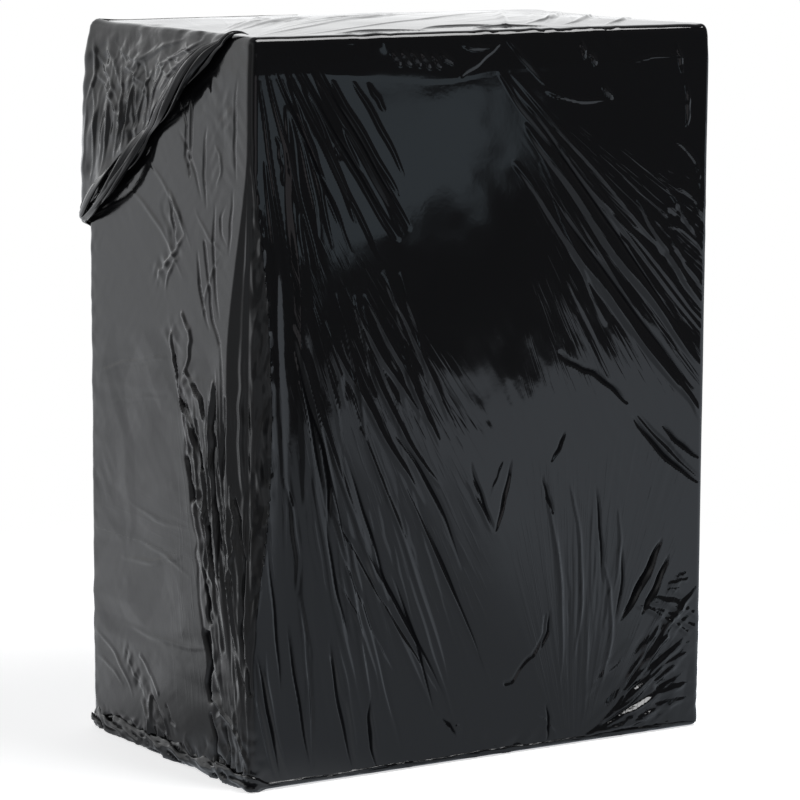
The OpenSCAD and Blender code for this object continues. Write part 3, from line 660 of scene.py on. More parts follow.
# Crumples of the hood: places along the narrow side from its back edge, and heights
HOOD_FOLDS = [
    ((14, 872), (48, 850), (104, 798), 8, 1.6, 0.3),
    ((22, 845), (70, 815), (112, 772), 9, 2.6, 0.3),
    ((10, 800), (30, 830), (18, 880), 11, 2.2, 0.3),
    ((30, 700), (38, 760), (24, 830), 11, 2.2, -0.3),
    ((60, 715), (72, 770), (60, 840), 10, 2.2, 0.3),
    ((88, 735), (104, 790), (96, 850), 9, 2.6, 0.2),
    ((96, 742), (112, 780), (114, 820), 6, -2.2, 0.2),
    ((110, 745), (122, 800), (140, 860), 8, 2.6, 0.3),
    ((126, 752), (134, 800), (120, 850), 7, -2.4, 0.2),
    ((140, 762), (152, 812), (178, 850), 8, 2.6, 0.2),
    ((158, 775), (166, 815), (150, 860), 7, 2.2, -0.2),
    ((172, 785), (186, 825), (214, 862), 8, 2.2, 0.2),
    ((70, 880), (130, 860), (190, 884), 9, 2.0, 0.2),
    ((110, 840), (170, 868), (250, 890), 9, 2.2, 0.2),
    ((180, 852), (232, 868), (300, 892), 8, 2.2, 0.2),
    ((200, 826), (250, 862), (312, 884), 8, 2.0, -0.2),
    ((90, 870), (120, 846), (160, 832), 8, 2.0, 0.2),
    ((50, 870), (80, 850), (100, 820), 8, 1.8, 0.2),
]
# The rope's line on the narrow side and, below 0, round the back edge and along the back.
# Each row: place from the back edge, height, and how far its middle stands off the face, in mm.
ROPE_LINE = [
    (-330, 458, -6), (-260, 500, 1), (-150, 566, 4), (-60, 622, 6), (-10, 650, 8), (19, 668, 12),
    (77, 702, 17), (120, 734, 13), (163, 768, 8), (219, 810, 12), (275, 850, 14), (314, 877, 9),
    (350, 895, 5), (378, 904, 2),
]
# Places along the rope's line where it is drawn together, and how strongly
PINCHES = [(-150, 0.4), (-4, 0.5), (172, 0.65), (335, 0.5)]
ROPE_STRANDS = 7
ROPE_TURNS = 1.4
ROPE_WIDE, ROPE_DEEP = 10.5, 4.5
# Points along a strand and round it
ROPE_ALONG, ROPE_RING = 420, 12


def wall_sheet(us, vs):
    """Folds of the film on all four walls, over distance round the carton and height."""
    sheet = Sheet(us, vs)
    faces = {"front": FRONT_FOLDS, "left": LEFT_FOLDS, "back": BACK_FOLDS, "right": RIGHT_FOLDS}
    for face, rows in faces.items():
        sheet.folds(rows, FACE_STARTS[face] / MM)
    sheet.folds(FRONT_CREASES)
    for face, (a, b), (c, d), count, width, height, bow, seed in GATHERS:
        start = FACE_STARTS[face] / MM
        line = [[(start + u, v) for u, v in pair] for pair in ((a, b), (c, d))]
        sheet.fan(line[0], line[1], count, width, height, bow, seed)
    for face, pulls in PULLS.items():
        for k, pull in enumerate(pulls):
            sheet.streaks(pull, 7 * CELLS[face] / MM, 260, 300 + 10 * k, FACE_STARTS[face] / MM)
    return sheet


def swells(p, v):
    """The front's soft swells, in metres."""
    middle = mask(p, v, (150, 250), (640, 600), 120)
    total = middle * 0.32 * MM * noise(drawn(p, v, -60, 2), 0.05, 27)
    total += middle * 0.10 * MM * noise(drawn(p, v, -62, 4), 0.010, 28)
    for (u0, v0), (wide, high), height in SWELLS:
        total += height * MM * np.exp(-((p / MM - u0) / wide) ** 2 - ((v / MM - v0) / high) ** 2)
    return total


def film_relief(points):
    """Slack and fine puckers that all the film has, in metres, from places in space."""
    slack = 0.4 * MM * noise(points, 0.22, 1) + 0.16 * MM * noise(points, 0.08, 2)
    return slack + 0.04 * MM * noise(points, 0.022, 3)


# How far the rim's crumples reach in over the top, and how far down the walls
RIM_IN, RIM_DOWN = 0.024, 0.032


def rim_crumple(place, strength):
    """Crumpled film along the rim, in metres; it grows as strength goes from 0 to 1."""
    sparse = smooth(noise(place, 0.09, 18) * 1.5 + 0.3)
    return smooth(strength) * (0.1 + 0.9 * sparse) * MM * crumple(place, 0.036, 17)


# Hollow beside the crushed edge on the wide front: depth, place and half width
DENT, DENT_AT, DENT_WIDE = 0.0050, 0.046, 0.032
# Edge of the last turn on the front: its height, and its dip's depth, place and half width
HEM_AT, DIP, DIP_AT, DIP_WIDE = 0.853, 0.012, 0.26, 0.07
# The folds fade out below the rim and above the foot, over these lengths
RIM_FADE, FOOT_FADE = 0.014, 0.008


def crushed_parts(p, v):
    """How far a place is on the smooth, the streaky and the blotchy part of the crushed edge."""
    depth = crushed(v)
    across = (p + CRUSH_LEFT * depth) / np.maximum((CRUSH_LEFT + CRUSH_FRONT) * depth, 0.004)
    calm = smooth((across + 0.08) / 0.1) * smooth((1.15 - across) / 0.15) * smooth(depth * 6)
    front = smooth((across - 0.5) / 0.12) * smooth(depth * 3)
    return calm, front * smooth((1.15 - across) / 0.2), front * smooth((1.2 - across) / 0.2)


def wall_crumples(p, v, place, streaky):
    """Crumpled film on the walls, in metres."""
    left = p - FACE_STARTS["left"]
    patchy = 0.08 + 0.5 * smooth(noise(place, 0.16, 24) * 2 - 0.2)
    crush = mask(left, v, (-40, 30), (380, 860), 60) * patchy
    for face, low, high, soft, height in CRUMPLED:
        crush += mask(p - FACE_STARTS[face], v, low, high, soft) * height
    for face, points, width, height in VEINS:
        crush += height * vein(p - FACE_STARTS[face], v, points, width)
    shares = {
        "crushed edge": streaky,
        "lower corner": mask(p, v, (500, -10), (680, 150), 60) * smooth((p - 0.36 - v * 1.1) / 0.06),
        "torn middle": mask(p, v, (300, 400), (560, 510), 60) * smooth(0.6 + 1.2 * noise(place, 0.05, 57)),
        "narrow side": mask(left, v, (0, 30), (330, 520), 80),
    }
    total = crush * crumple(place, 0.022, 11)
    for part, (height, angle, stretch, size, seed) in DRAWN_OUT.items():
        total += height * shares[part] * crumple(drawn(p, v, angle, stretch), size, seed)
    return total * MM


def wall_shade(sheet, place, blotched, ring):
    """How dark the film is painted: painted shade in the front's creases and on one flank of each fold on
    the right and back, and dark blotches on the crushed edge.
    """
    p, v = sheet.u, sheet.v
    crease_shade = Sheet(sheet.us, sheet.vs)
    # the front's creases, darkened with painted shade
    crease_shade.folds([(*row[:4], 1 / MM, row[5]) for row in FRONT_CREASES])
    blotch = smooth(0.45 + 1.1 * noise(drawn(p, v, 80, 2), 0.006, 46) + 0.5 * noise(place, 0.03, 47))
    away = smooth((p - WIDTH) / 0.02) * smooth((GIRTH - DEPTH - p) / 0.02)
    slope = np.gradient(sheet.height, sheet.us, axis=1)
    slope = sum(np.roll(slope, k, axis=0) for k in range(-3, 4)) / 7
    # painted shade on the flank of each fold that faces one way, on the right and back; dark blotches on
    # the crushed edge
    shade = np.maximum(0.42 * blotched * blotch, 0.5 * away * smooth(slope / 0.18))
    return np.maximum(crease_shade.height * ring, shade)


def wall_grid():
    """Places of the walls' film, the shade painted into its cracks, creases, blotches and fold flanks, and
    the grid's own places.
    """
    us, vs = girth_places(), wall_rows()
    sheet = wall_sheet(us, vs)
    p, v = sheet.u, sheet.v
    place, normal = wall_point(p, v)
    ring = smooth((HEIGHT - v) / RIM_FADE) * smooth(v / FOOT_FADE)
    calm, streaky, blotched = crushed_parts(p, v)
    folds = sheet.height * (1 - 0.9 * calm)
    # painted shade for the walls, carried to the material as "deep"
    deep = wall_shade(sheet, place, blotched, ring)
    for face, points, width, height in CRACKS:
        line = vein(p - FACE_STARTS[face], v, points, width)
        folds = folds + height * MM * line
        # painted shade: the deeper a crack, the darker the film is painted in it
        deep = np.maximum(deep, smooth(-height / 4.5) * line)
    edge = HEM_AT - DIP * np.exp(-((p - DIP_AT) / DIP_WIDE) ** 2) + 0.006 * noise(place, 0.09, 19)
    hem = 0.10 * MM * smooth((v - edge) / (3 * MM) + 0.5) * mask(p, v, (0, 0), (1060, 950), 20)
    dent = DENT * np.exp(-((p - DENT_AT) / DENT_WIDE) ** 2)
    dent *= smooth((0.90 - v) / 0.46) * smooth((v + 0.04) / 0.34)
    lift = (folds + hem + wall_crumples(p, v, place, streaky)) * ring + swells(p, v) - dent
    lift += film_relief(place) * smooth(v / FOOT_FADE)
    lift += rim_crumple(place, (v - (HEIGHT - RIM_DOWN)) / RIM_IN)
    return settle(place + normal * lift[..., None]), deep, us, vs


def top_grid(us):
    """The top's film, on a grid that meets the walls' columns at the rim."""
    xs = us[(us >= EDGE_R - 1e-6) & (us <= WIDTH - EDGE_R + 1e-6)]
    ys = -us[(us >= EDGE_R - DEPTH - 1e-6) & (us <= -EDGE_R + 1e-6)][::-1]
    sheet = Sheet(xs, ys)
    sheet.folds(TOP_FOLDS)
    for row in TOP_GATHERS:
        sheet.fan(*row)
    sheet.streaks(TOP_PULL, 16, 220, 340)
    x, y = sheet.u, sheet.v
    inner = np.minimum(np.minimum(x, WIDTH - x), np.minimum(y, DEPTH - y)) - EDGE_R
    place = np.stack([x - WIDTH / 2, y - DEPTH / 2, np.full_like(x, HEIGHT)], axis=-1)
    rim = rim_crumple(place, (RIM_IN - inner) / RIM_IN)
    swell = TOP_CROWN * np.sin(np.clip(inner / (DEPTH / 2), 0, 1) * math.pi / 2)
    place[..., 2] += swell + sheet.height * smooth(inner / 0.015) + film_relief(place) + rim
    return settle(place)


def spread(points, count):
    """Even places along a smooth line through the points."""
    points = np.asarray(points, float)
    line = []
    for k in range(len(points) - 1):
        p, q = points[max(k - 1, 0)], points[k]
        r, s = points[k + 1], points[min(k + 2, len(points) - 1)]
        for t in np.linspace(0, 1, 24, endpoint=False):
            line.append(0.5 * (2 * q + (r - p) * t + (2 * p - 5 * q + 4 * r - s) * t ** 2
                               + (3 * q - p - 3 * r + s) * t ** 3))
    line = np.array([*line, points[-1]])
    run = np.concatenate([[0], np.cumsum(np.linalg.norm(np.diff(line, axis=0), axis=1))])
    where = np.linspace(0, run[-1], count)
    return np.stack([np.interp(where, run, line[:, k]) for k in range(line.shape[1])], axis=-1)


# Points of the hood along the rope's line and up to the rim
HOOD_ALONG, HOOD_UP = 300, 100
# Cells of the grid that its folds are laid on, and that grid's start, end and foot
HOOD_CELL = 2 * MM
HOOD_START, HOOD_END, HOOD_FOOT = -0.34, 0.40, 0.43
# The hood begins this far past the back edge and ends this far below the rim, in mm
HOOD_BACK, HOOD_BELOW = 300, 6


def hood_grid():
    """The hood: film from the lifted rope up to the rim, round the back left edge."""
    rope = spread(ROPE_LINE, HOOD_ALONG)
    rope = rope[(rope[:, 0] > -HOOD_BACK) & (rope[:, 1] < HEIGHT / MM - HOOD_BELOW)]
    us = np.arange(HOOD_START, HOOD_END, HOOD_CELL)
    sheet = Sheet(us, np.arange(HOOD_FOOT, HEIGHT + HOOD_CELL, HOOD_CELL))
    sheet.folds(HOOD_FOLDS)
    for row in HOOD_GATHERS:
        sheet.fan(*row)
    t = np.linspace(0, 1, HOOD_UP)[:, None]
    s = np.broadcast_to(rope[:, 0] * MM, (len(t), len(rope)))
    low, off = rope[:, 1] * MM, np.maximum(rope[:, 2], 0.6) * MM
    v = low + (HEIGHT - low) * t
    place, normal = box_point(s - DEPTH, v)
    tight = off * (1 - t) ** 1.1
    corner = 4.5 * MM * np.exp(-((s / MM) / 26) ** 2) * np.sin(math.pi * np.clip(t, 0, 1) * 0.9) ** 0.5
    knot = vein(s, v, ((110, 850), (140, 800), (160, 770)), 60)
    crush = 1.2 * noise(drawn(s, v, 38, 4), 0.014, 12) + 1.0 * noise(drawn(s, v, 72, 3), 0.016, 22)
    crush = (crush + 1.6 * crumple(place, 0.060, 23) + (0.5 + 1.6 * knot) * crumple(place, 0.022, 13)) * MM
    free = smooth((1 - t) * 14) * smooth(t * 14 + 0.3)
    lift = 0.5 * MM + tight + corner + (sheet.at(s, v) + crush) * free
    lift = np.maximum(lift, 0.5 * MM) + film_relief(place)
    lift += rim_crumple(place, (v - (HEIGHT - RIM_DOWN)) / RIM_IN)
    return settle(place + normal * lift[..., None])


def rope_grids():
    """The rope's strands: gathered film, drawn together at the pinches, that winds slowly."""
    line = spread(ROPE_LINE, ROPE_ALONG)
    place, normal = box_point(line[:, 0] * MM - DEPTH, line[:, 1] * MM)
    middle = place + normal * (line[:, 2] * MM)[:, None]
    ahead = np.gradient(middle, axis=0)
    ahead /= np.linalg.norm(ahead, axis=1)[:, None]
    up = np.cross(ahead, normal)
    up /= np.linalg.norm(up, axis=1)[:, None]
    out = np.cross(up, ahead)
    w = np.linspace(0, 1, len(line))
    fullness = 1.12 - sum(much * np.exp(-((line[:, 0] - at) / 24) ** 2) for at, much in PINCHES)
    ends = np.clip(np.minimum(w, 1 - w) * 12, 0.08, 1)
    ring = np.linspace(0, 2 * math.pi, ROPE_RING + 1)[:-1]
    grids = []
    for k in range(ROPE_STRANDS):
        angle = 2 * math.pi * (k / ROPE_STRANDS + ROPE_TURNS * w) + 0.5 * np.sin(9 * w + 2 * k)
        across = ROPE_WIDE * np.cos(angle) * fullness * ends * MM
        outward = ROPE_DEEP * np.sin(angle) * fullness * ends * MM
        core = middle + up * across[:, None] + out * outward[:, None]
        roll = angle + math.pi / 2 + 0.6 * np.sin(13 * w + k)
        size = (0.55 + 0.45 * fullness) * ends * MM
        wide = (3.6 + 1.4 * np.sin(17 * w + 3 * k)) * size
        deep = (2.3 + 0.7 * np.sin(23 * w + k)) * size
        pleat = 1 + 0.28 * np.sin(3 * ring[None, :] + 6 * w[:, None] * math.pi + k)
        a = np.cos(ring)[None, :] * wide[:, None] * pleat
        b = np.sin(ring)[None, :] * deep[:, None] * pleat
        side = a * np.cos(roll)[:, None] - b * np.sin(roll)[:, None]
        rise = (a * np.sin(roll)[:, None] + b * np.cos(roll)[:, None]) * ROPE_DEEP / ROPE_WIDE * 1.6
        grids.append(settle(core[:, None] + up[:, None] * side[..., None] + out[:, None] * rise[..., None]))
    return grids


# Points along the foot's roll and round it
FOOT_ALONG, FOOT_RING = 900, 20


def foot_grid():
    """Crumpled roll of film along the bottom of the four walls, and the shade painted into its cracks on
    the narrow side.
    """
    along = np.linspace(-DEPTH, GIRTH - DEPTH, FOOT_ALONG)
    around = np.linspace(-0.5 * math.pi, 0.75 * math.pi, FOOT_RING)
    p, around = np.meshgrid(along, around, indexing="ij")
    place, normal = box_point(p, np.full_like(p, EDGE_R))
    flat = np.stack([p * 0.45, around * 0.012, np.zeros_like(p)], axis=-1)
    lump = noise(flat * [1, 0, 0], 0.016, 14)
    fine = crumple(flat, 0.010, 15)
    side = mask(p, p * 0, (-430, -10), (14, 10), 24)
    corner = mask(p, p * 0, (-30, -10), (12, 10), 20) + mask(p, p * 0, (640, -10), (700, 10), 40)
    thick = 1.8 + 5.0 * side - 1.6 * corner + 1.4 * mask(p, p * 0, (700, -10), (1800, 10), 60)
    radius = (thick + (0.6 + 1.4 * side) * lump + (0.8 + 3.6 * side) * fine) * MM
    height = (6.5 + 4.5 * side) * MM + np.sin(around) * radius * 1.6
    place = place + normal * (np.cos(around) * radius * 0.7)[..., None]
    place[..., 2] = np.maximum(height, 0.0002)
    # painted shade in the roll's cracks on the narrow side
    return settle(place), side * smooth(-fine * 2.4 - 0.1)


# Meshes


def quads(rows, columns, wrap=False):
    """Faces of a grid, seen from the side where columns turn left to right and rows rise."""
    last = columns if wrap else columns - 1
    i, j = np.meshgrid(np.arange(rows - 1), np.arange(last), indexing="ij")
    k = (j + 1) % columns
    corners = [i * columns + j, i * columns + k, (i + 1) * columns + k, (i + 1) * columns + j]
    return np.stack(corners, axis=-1).reshape(-1, 4)


def shared_normals(parts):
    """Normals of all points, the same where points of different parts meet."""
    points = np.concatenate([part["points"] for part in parts])
    starts = np.cumsum([0] + [len(part["points"]) for part in parts])
    faces = np.concatenate([part["faces"] + s for part, s in zip(parts, starts)])
    corner = points[faces]
    turn = np.cross(corner[:, 2] - corner[:, 0], corner[:, 3] - corner[:, 1])
    _, meeting = np.unique(np.round(points / 1e-6).astype(np.int64), axis=0, return_inverse=True)
    meeting = meeting.ravel()
    total = np.zeros((meeting.max() + 1, 3))
    for k in range(4):
        for axis in range(3):
            total[:, axis] += np.bincount(meeting[faces[:, k]], turn[:, axis], len(total))
    total /= np.maximum(np.linalg.norm(total, axis=1), 1e-12)[:, None]
    normals = total[meeting]
    return [normals[a:b] for a, b in zip(starts[:-1], starts[1:])]


VALUE_NAMES = {"FLOAT": "value", "FLOAT_VECTOR": "vector"}


def add_values(mesh, key, kind, values):
    """Values of the mesh's points, which the material reads by name."""
    layer = mesh.attributes.new(key, kind, "POINT")
    layer.data.foreach_set(VALUE_NAMES[kind], values.astype(np.float32).ravel())


def add_piece(name, points, faces, material, satin, deep=0.0, normals=None, pulls=()):
    """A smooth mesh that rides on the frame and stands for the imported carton."""
    mesh = bpy.data.meshes.new(name)
    mesh.from_pydata(points.tolist(), [], faces.tolist())
    mesh.polygons.foreach_set("use_smooth", np.ones(len(faces), bool))
    mesh.materials.append(material)
    for key, values in pulls:
        add_values(mesh, key, "FLOAT_VECTOR", values)
    # "deep" is painted shade: how far the material lowers the film's specular level
    for key, values in (("satin", satin), ("deep", deep)):
        add_values(mesh, key, "FLOAT", np.broadcast_to(values, len(points)))
    if normals is not None:
        mesh.normals_split_custom_set_from_vertices(normals.tolist())
    piece = bpy.data.objects.new(name, mesh)
    bpy.context.scene.collection.objects.link(piece)
    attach(piece, "root")
    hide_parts(NODE)


PULL_KEYS = ("pull_a", "pull_b", "pull_c")


def pull_values(face, u, v):
    """For each of the face's pulls: distance across its streaks, along them, and its strength."""
    values = []
    for key, pull in zip(PULL_KEYS, PULLS[face]):
        values.append((key, np.stack(pull_places(u, v, pull), axis=-1).reshape(-1, 3)))
    return values


def satin_at(p):
    """How satin the walls' film is: the narrow left side most, the wide front least."""
    p = (p + DEPTH) % GIRTH - DEPTH
    side = smooth((0.01 - p) / 0.03) * smooth((p + DEPTH + 0.02) / 0.02)
    rest = smooth((p - WIDTH) / 0.03)
    return side + 0.4 * rest * (1 - side)


# How satin the film is where its piece is even
SATIN = {"film_top": 0.6, "film_base": 0.6, "film_hood": 1.0, "film_rope": 0.6, "film_foot": 0.8}
# Points along and across the base
BASE_ALONG, BASE_ACROSS = 40, 24


def skin_part(name, grid, satin, deep=0.0, pulls=()):
    """One of the pieces that meet without a seam, before it is a mesh."""
    return {"name": name, "points": grid.reshape(-1, 3), "faces": quads(*grid.shape[:2]),
            "satin": satin, "deep": deep, "pulls": pulls}


def add_skin(material):
    """The film on the walls, the top and the base, as pieces that meet without a seam."""
    walls, deep, us, vs = wall_grid()
    parts = []
    halves = {"front": 2}
    for face, start in FACE_STARTS.items():
        first, last = np.searchsorted(us, [start - 1e-6, start + FACE_LENGTHS[face] + 1e-6])
        count = halves.get(face, 1)
        cuts = np.linspace(first, last - 1, count + 1).astype(int)
        for k, (a, b) in enumerate(zip(cuts[:-1], cuts[1:])):
            u, v = np.meshgrid(us[a:b + 1] - start, vs)
            name = "film_" + face + ("_" + "ab"[k] if count > 1 else "")
            parts.append(skin_part(name, walls[:, a:b + 1], satin_at(u + start).ravel(),
                                   deep[:, a:b + 1].ravel(), pull_values(face, u, v)))
    parts.append(skin_part("film_top", top_grid(us), SATIN["film_top"]))
    xs = np.linspace(EDGE_R - WIDTH / 2, WIDTH / 2 - EDGE_R, BASE_ALONG)
    ys = np.linspace(DEPTH / 2 - EDGE_R, EDGE_R - DEPTH / 2, BASE_ACROSS)
    x, y = np.meshgrid(xs, ys)
    base = settle(np.stack([x, y, np.zeros_like(x)], axis=-1))
    parts.append(skin_part("film_base", base, SATIN["film_base"]))
    for part, normals in zip(parts, shared_normals(parts)):
        add_piece(**part, material=material, normals=normals)


def add_hood(material):
    """The hood over the narrow side, and the rope along its lower edge."""
    hood = hood_grid()
    add_piece("film_hood", hood.reshape(-1, 3), quads(*hood.shape[:2]), material, SATIN["film_hood"])
    points, faces, count = [], [], 0
    for grid in rope_grids():
        points.append(grid.reshape(-1, 3))
        faces.append(quads(*grid.shape[:2], wrap=True) + count)
        count += len(points[-1])
    add_piece("film_rope", np.concatenate(points), np.concatenate(faces), material, SATIN["film_rope"])


def add_foot(material):
    """The rolled film along the bottom."""
    foot, crack_shade = foot_grid()
    points, faces = foot.reshape(-1, 3), quads(*foot.shape[:2])
    add_piece("film_foot", points, faces, material, SATIN["film_foot"], crack_shade.ravel())


# Materials
BLACK = (0.0055, 0.0055, 0.0062, 1)
# Roughness of glassy film and what satin film adds, each where it is smoothest and roughest
GLASSY_ROUGH, SATIN_ROUGH = (0.025, 0.07), (0.06, 0.14)
# Specular level of open film, and the lower level that paints shade into cracks, creases, blotches and fold
# flanks
SHINE_AND_PAINTED_SHADE = (0.5, 0.03)
# Streaks per metre across and along a pull
STREAKS_ACROSS, STREAKS_ALONG = 230.0, 12.0


def clear_tree(owner):
    """The empty node tree of a material or world."""
    owner.use_nodes = True
    owner.node_tree.nodes.clear()
    return owner.node_tree


def add_node(tree, kind, *values, sockets=None, **settings):
    """A node whose sockets, the first ones or those named, get numbers or other nodes' outputs."""
    node = tree.nodes.new("ShaderNode" + kind)
    for key, value in settings.items():
        setattr(node, key, value)
    for key, value in zip(sockets or range(len(values)), values):
        if isinstance(value, bpy.types.NodeSocket):
            tree.links.new(value, node.inputs[key])
        else:
            node.inputs[key].default_value = value
    return node


def math_node(tree, operation, a, b):
    return add_node(tree, "Math", a, b, operation=operation).outputs[0]


def noise_node(tree, vector, scale, detail, distortion=0.0):
    names = ("Vector", "Scale", "Detail", "Distortion")
    return add_node(tree, "TexNoise", vector, scale, detail, distortion, sockets=names).outputs["Fac"]


def range_node(tree, value, low, high, to_low, to_high):
    """Eases from one value to another while the input goes from low to high."""
    values = (value, low, high, to_low, to_high)
    return add_node(tree, "MapRange", *values, interpolation_type="SMOOTHSTEP").outputs["Result"]


def parts_of(tree, vector):
    return add_node(tree, "SeparateXYZ", vector).outputs


def attribute(tree, key):
    return add_node(tree, "Attribute", attribute_name=key).outputs


def black_film():
    """Glossy black stretch film: near-black plastic with stretch streaks, satin patches and shade painted
    into its cracks and creases.
    """
    material = bpy.data.materials.new("black_film")
    tree = clear_tree(material)
    place = add_node(tree, "TexCoord").outputs["Object"]
    cloud = noise_node(tree, place, 9, 4)
    satin = attribute(tree, "satin")["Fac"]
    glassy = range_node(tree, cloud, 0.35, 0.7, *GLASSY_ROUGH)
    worn = math_node(tree, "MULTIPLY", satin, range_node(tree, cloud, 0.3, 0.7, *SATIN_ROUGH))
    # painted shade: the specular level falls where "deep" marks cracks, creases, blotches and shaded flanks
    shine_and_painted_shade = range_node(tree, attribute(tree, "deep")["Fac"], 0.15, 0.7, *SHINE_AND_PAINTED_SHADE)
    grain = math_node(tree, "ADD", math_node(tree, "MULTIPLY", satin, 0.2), 0.04)
    total = math_node(tree, "MULTIPLY", noise_node(tree, place, 160, 3), grain)
    for k, key in enumerate(PULL_KEYS):
        across, along, strength = parts_of(tree, attribute(tree, key)["Vector"])
        across = math_node(tree, "MULTIPLY", across, STREAKS_ACROSS)
        along = math_node(tree, "MULTIPLY", along, STREAKS_ALONG)
        line = add_node(tree, "CombineXYZ", across, along, 3.7 * k).outputs[0]
        streak = range_node(tree, noise_node(tree, line, 1, 2, 0.2), 0.5, 0.72, 0, 1)
        total = math_node(tree, "ADD", total, math_node(tree, "MULTIPLY", streak, strength))
    bump = add_node(tree, "Bump", 0.6, 0.0005, total, sockets=("Strength", "Distance", "Height")).outputs[0]
    rough = math_node(tree, "ADD", glassy, worn)
    shader = add_node(tree, "BsdfPrincipled", BLACK, rough, 1.5, shine_and_painted_shade, bump,
                      sockets=("Base Color", "Roughness", "IOR", "Specular IOR Level", "Normal"))
    add_node(tree, "OutputMaterial", shader.outputs[0])
    return material


# Floor, backdrop and light
FLOOR_REACH = 40.0
# The white floor ends this far in front of the carton, on a slant; past it the studio is dark
SWEEP_FRONT = -2.62
SWEEP_SLANT = 0.16
SWEEP_SOFT = 0.08
# The floor as reflections see it is a painted glow: painted light in place of lamp light falling on it
# That floor grows brighter to the right in two steps: where each begins and ends, in metres, and
# the light before and after it
FLOOR_STEPS = [(-0.9, -0.3, 0.08, 0.47), (0.1, 0.5, 0.0, 0.38)]
WHITE = (1, 1, 1, 1)
PALE_FLOOR, DARK_FLOOR = (0.86, 0.86, 0.87, 1), (0.02, 0.02, 0.021, 1)
# Tints of the floor's painted glow in front and behind, and of the world's upper part
FRONT_TINT, BACK_TINT, HIGH_TINT = (0.82, 0.90, 1.0, 1), (0.95, 0.97, 1.0, 1), (0.98, 0.99, 1.0, 1)
# The white surroundings are brightest one way, behind the carton and to its left, and fade round
# it: that way, where they begin and where they are full along it, and how bright they are
BACK_WAY = (-0.53, 0.848, 0)
BACK_LOW, BACK_HIGH, BACK_LEVEL = -0.7, 0.6, 1.02
# A dark flag stands on the left: where it begins and ends, and the share of the light it leaves
FLAG_LOW, FLAG_HIGH, FLAG_DIM = -0.98, -0.72, 0.3
# How much of the dark part of the studio still shows in the film
STUDIO_DIM = 0.055


def glow(tree, colour, strength):
    return add_node(tree, "Emission", colour, strength).outputs[0]


def joined(tree, a, b):
    """The sum of two shaders."""
    return add_node(tree, "AddShader", a, b).outputs[0]


def camera_split(tree, seen, unseen):
    """A shader that is one thing to the camera and another to every other ray."""
    camera = add_node(tree, "LightPath").outputs["Is Camera Ray"]
    return add_node(tree, "MixShader", camera, unseen, seen).outputs[0]


def along_back(tree, way):
    """How far a direction points to the brightest surroundings, and the share a dark flag leaves."""
    turn = add_node(tree, "VectorMath", way, BACK_WAY, operation="DOT_PRODUCT").outputs["Value"]
    return turn, range_node(tree, parts_of(tree, way)["X"], FLAG_LOW, FLAG_HIGH, FLAG_DIM, 1.0)


def floor_material():
    """Pale floor: white as the camera sees it; to every other ray a painted glow, brighter to the right and
    toward the backdrop, and dark past the sweep's front.
    """
    material = bpy.data.materials.new("studio_floor")
    tree = clear_tree(material)
    place = add_node(tree, "TexCoord").outputs["Object"]
    x, y, _ = parts_of(tree, place)
    reach = math_node(tree, "ADD", y, math_node(tree, "MULTIPLY", x, SWEEP_SLANT))
    sweep = range_node(tree, reach, SWEEP_FRONT - SWEEP_SOFT, SWEEP_FRONT + SWEEP_SOFT, 0, 1)
    aside = math_node(tree, "ADD", x, math_node(tree, "MULTIPLY", y, 0.35))
    # painted light: the floor glows brighter to the right of the carton and dimmer to its left
    level = math_node(tree, "ADD", *[range_node(tree, aside, *step) for step in FLOOR_STEPS])
    ahead = range_node(tree, y, -0.15, 0.15, 1, 0)
    front = math_node(tree, "MULTIPLY", math_node(tree, "MULTIPLY", level, sweep), ahead)
    way = add_node(tree, "VectorMath", place, operation="NORMALIZE").outputs[0]
    turn, flag = along_back(tree, way)
    back = range_node(tree, turn, BACK_LOW, BACK_HIGH, STUDIO_DIM, BACK_LEVEL)
    back = math_node(tree, "MULTIPLY", back, flag)
    # to reflections the floor's own colour is dark, and its look is the painted glow
    dark = add_node(tree, "BsdfDiffuse", DARK_FLOOR).outputs[0]
    painted_floor_glow = joined(tree, joined(tree, glow(tree, FRONT_TINT, front), glow(tree, BACK_TINT, back)), dark)
    pale = add_node(tree, "BsdfDiffuse", PALE_FLOOR).outputs[0]
    near = joined(tree, pale, glow(tree, WHITE, 0.66))
    far = add_node(tree, "VectorMath", place, operation="LENGTH").outputs["Value"]
    far = range_node(tree, far, 0.7, 1.5, 0, 1)
    seen = add_node(tree, "MixShader", far, near, glow(tree, WHITE, 1.0)).outputs[0]
    add_node(tree, "OutputMaterial", camera_split(tree, seen, painted_floor_glow))
    return material


def add_panel(name, corners, material):
    """A flat piece of the studio."""
    mesh = bpy.data.meshes.new(name)
    mesh.from_pydata(corners, [], [tuple(range(len(corners)))])
    mesh.materials.append(material)
    panel = bpy.data.objects.new(name, mesh)
    bpy.context.scene.collection.objects.link(panel)
    return panel


def make_floor():
    far = FLOOR_REACH
    corners = [(-far, -far, 0), (far, -far, 0), (far, far, 0), (-far, far, 0)]
    add_panel("studio_floor", corners, floor_material())


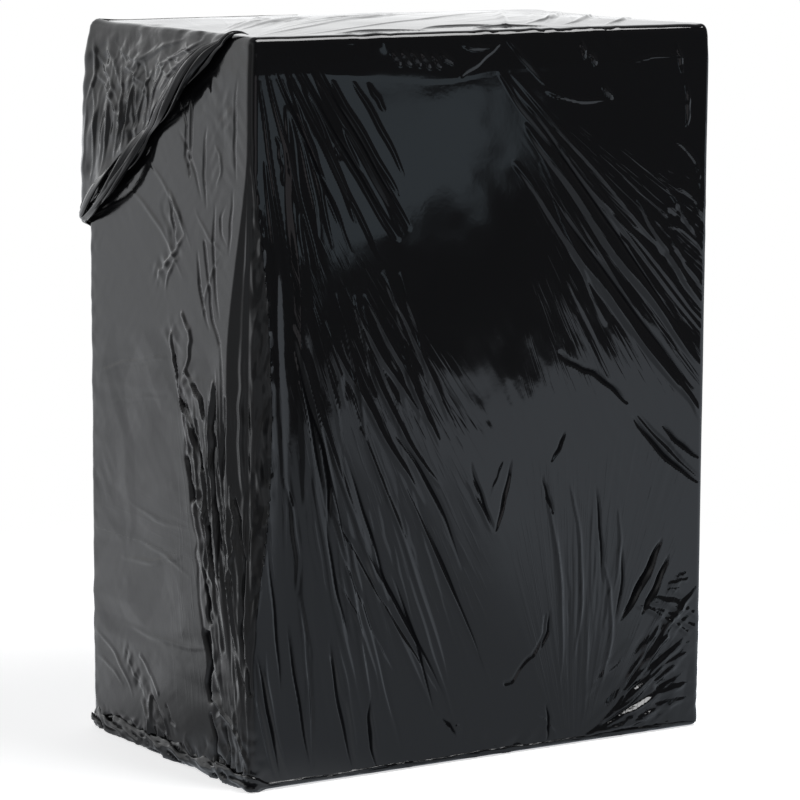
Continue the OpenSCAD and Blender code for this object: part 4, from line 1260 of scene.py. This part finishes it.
def make_world():
    """White backdrop behind and beside the carton, and a dark studio on the camera's side."""
    world = bpy.data.worlds.new("studio")
    bpy.context.scene.world = world
    tree = clear_tree(world)
    place = add_node(tree, "TexCoord").outputs["Generated"]
    turn, flag = along_back(tree, place)
    side = math_node(tree, "MULTIPLY", flag, range_node(tree, turn, BACK_LOW, BACK_HIGH, STUDIO_DIM, 1.0))
    high = range_node(tree, parts_of(tree, place)["Z"], 0.35, 0.8, 1.0, 0.3)
    backdrop = add_node(tree, "Background", HIGH_TINT, math_node(tree, "MULTIPLY", side, high)).outputs[0]
    white = add_node(tree, "Background").outputs[0]
    add_node(tree, "OutputWorld", camera_split(tree, white, backdrop))


def add_light(name, place, aim, size, power):
    data = bpy.data.lights.new(name, "AREA")
    data.shape = "RECTANGLE"
    data.size, data.size_y = size
    data.energy = power
    light = bpy.data.objects.new(name, data)
    bpy.context.scene.collection.objects.link(light)
    light.location = place
    light.rotation_euler = (Vector(aim) - Vector(place)).to_track_quat("-Z", "Y").to_euler()
    light.visible_camera = False


def make_lights():
    add_light("overhead", (1.2, -1.5, 3.4), (1.0, -1.2, 0), (2.2, 1.6), 100)
    add_light("backlight", (1.6, 4.4, 1.5), (0, 0, 0.9), (7.0, 2.4), 16)


# Dim panels by the camera: how far in front they stand, and for each its outline and colour
CARDS_Y = -4.0
# Corners to the right and up
CARD_EDGE = [
    (1.91, 0.20), (2.08, 0.10), (2.20, 0.15), (2.30, 0.20), (2.36, 0.245), (2.46, 0.235), (2.54, 0.215),
    (2.51, 0.33), (2.58, 0.35), (2.565, 0.45), (2.575, 0.53), (2.36, 0.545), (2.14, 0.54), (1.91, 0.57),
]
CARD_COLOUR = (0.5, 0.6, 0.68, 1)
# Only folds that turn to the left show this one
SIDE_EDGE = [(-0.9, 0.05), (0.2, 0.0), (1.0, 0.12), (0.95, 0.5), (0.1, 0.72), (-0.9, 0.7)]
SIDE_COLOUR = (0.42, 0.40, 0.42, 1)


def make_fill_card(name, edge, colour):
    """Dim panel by the camera, which shows faintly in the front film."""
    material = bpy.data.materials.new(name)
    tree = clear_tree(material)
    add_node(tree, "OutputMaterial", glow(tree, colour, 1.0))
    card = add_panel(name, [(x, CARDS_Y, z) for x, z in edge], material)
    card.visible_camera = False
    card.visible_diffuse = False
    card.visible_shadow = False


make_camera()
film = black_film()
add_skin(film)
add_hood(film)
add_foot(film)
make_floor()
make_world()
make_lights()
make_fill_card("fill_card", CARD_EDGE, CARD_COLOUR)
make_fill_card("side_card", SIDE_EDGE, SIDE_COLOUR)

bpy.context.scene.view_settings.view_transform = "Standard"
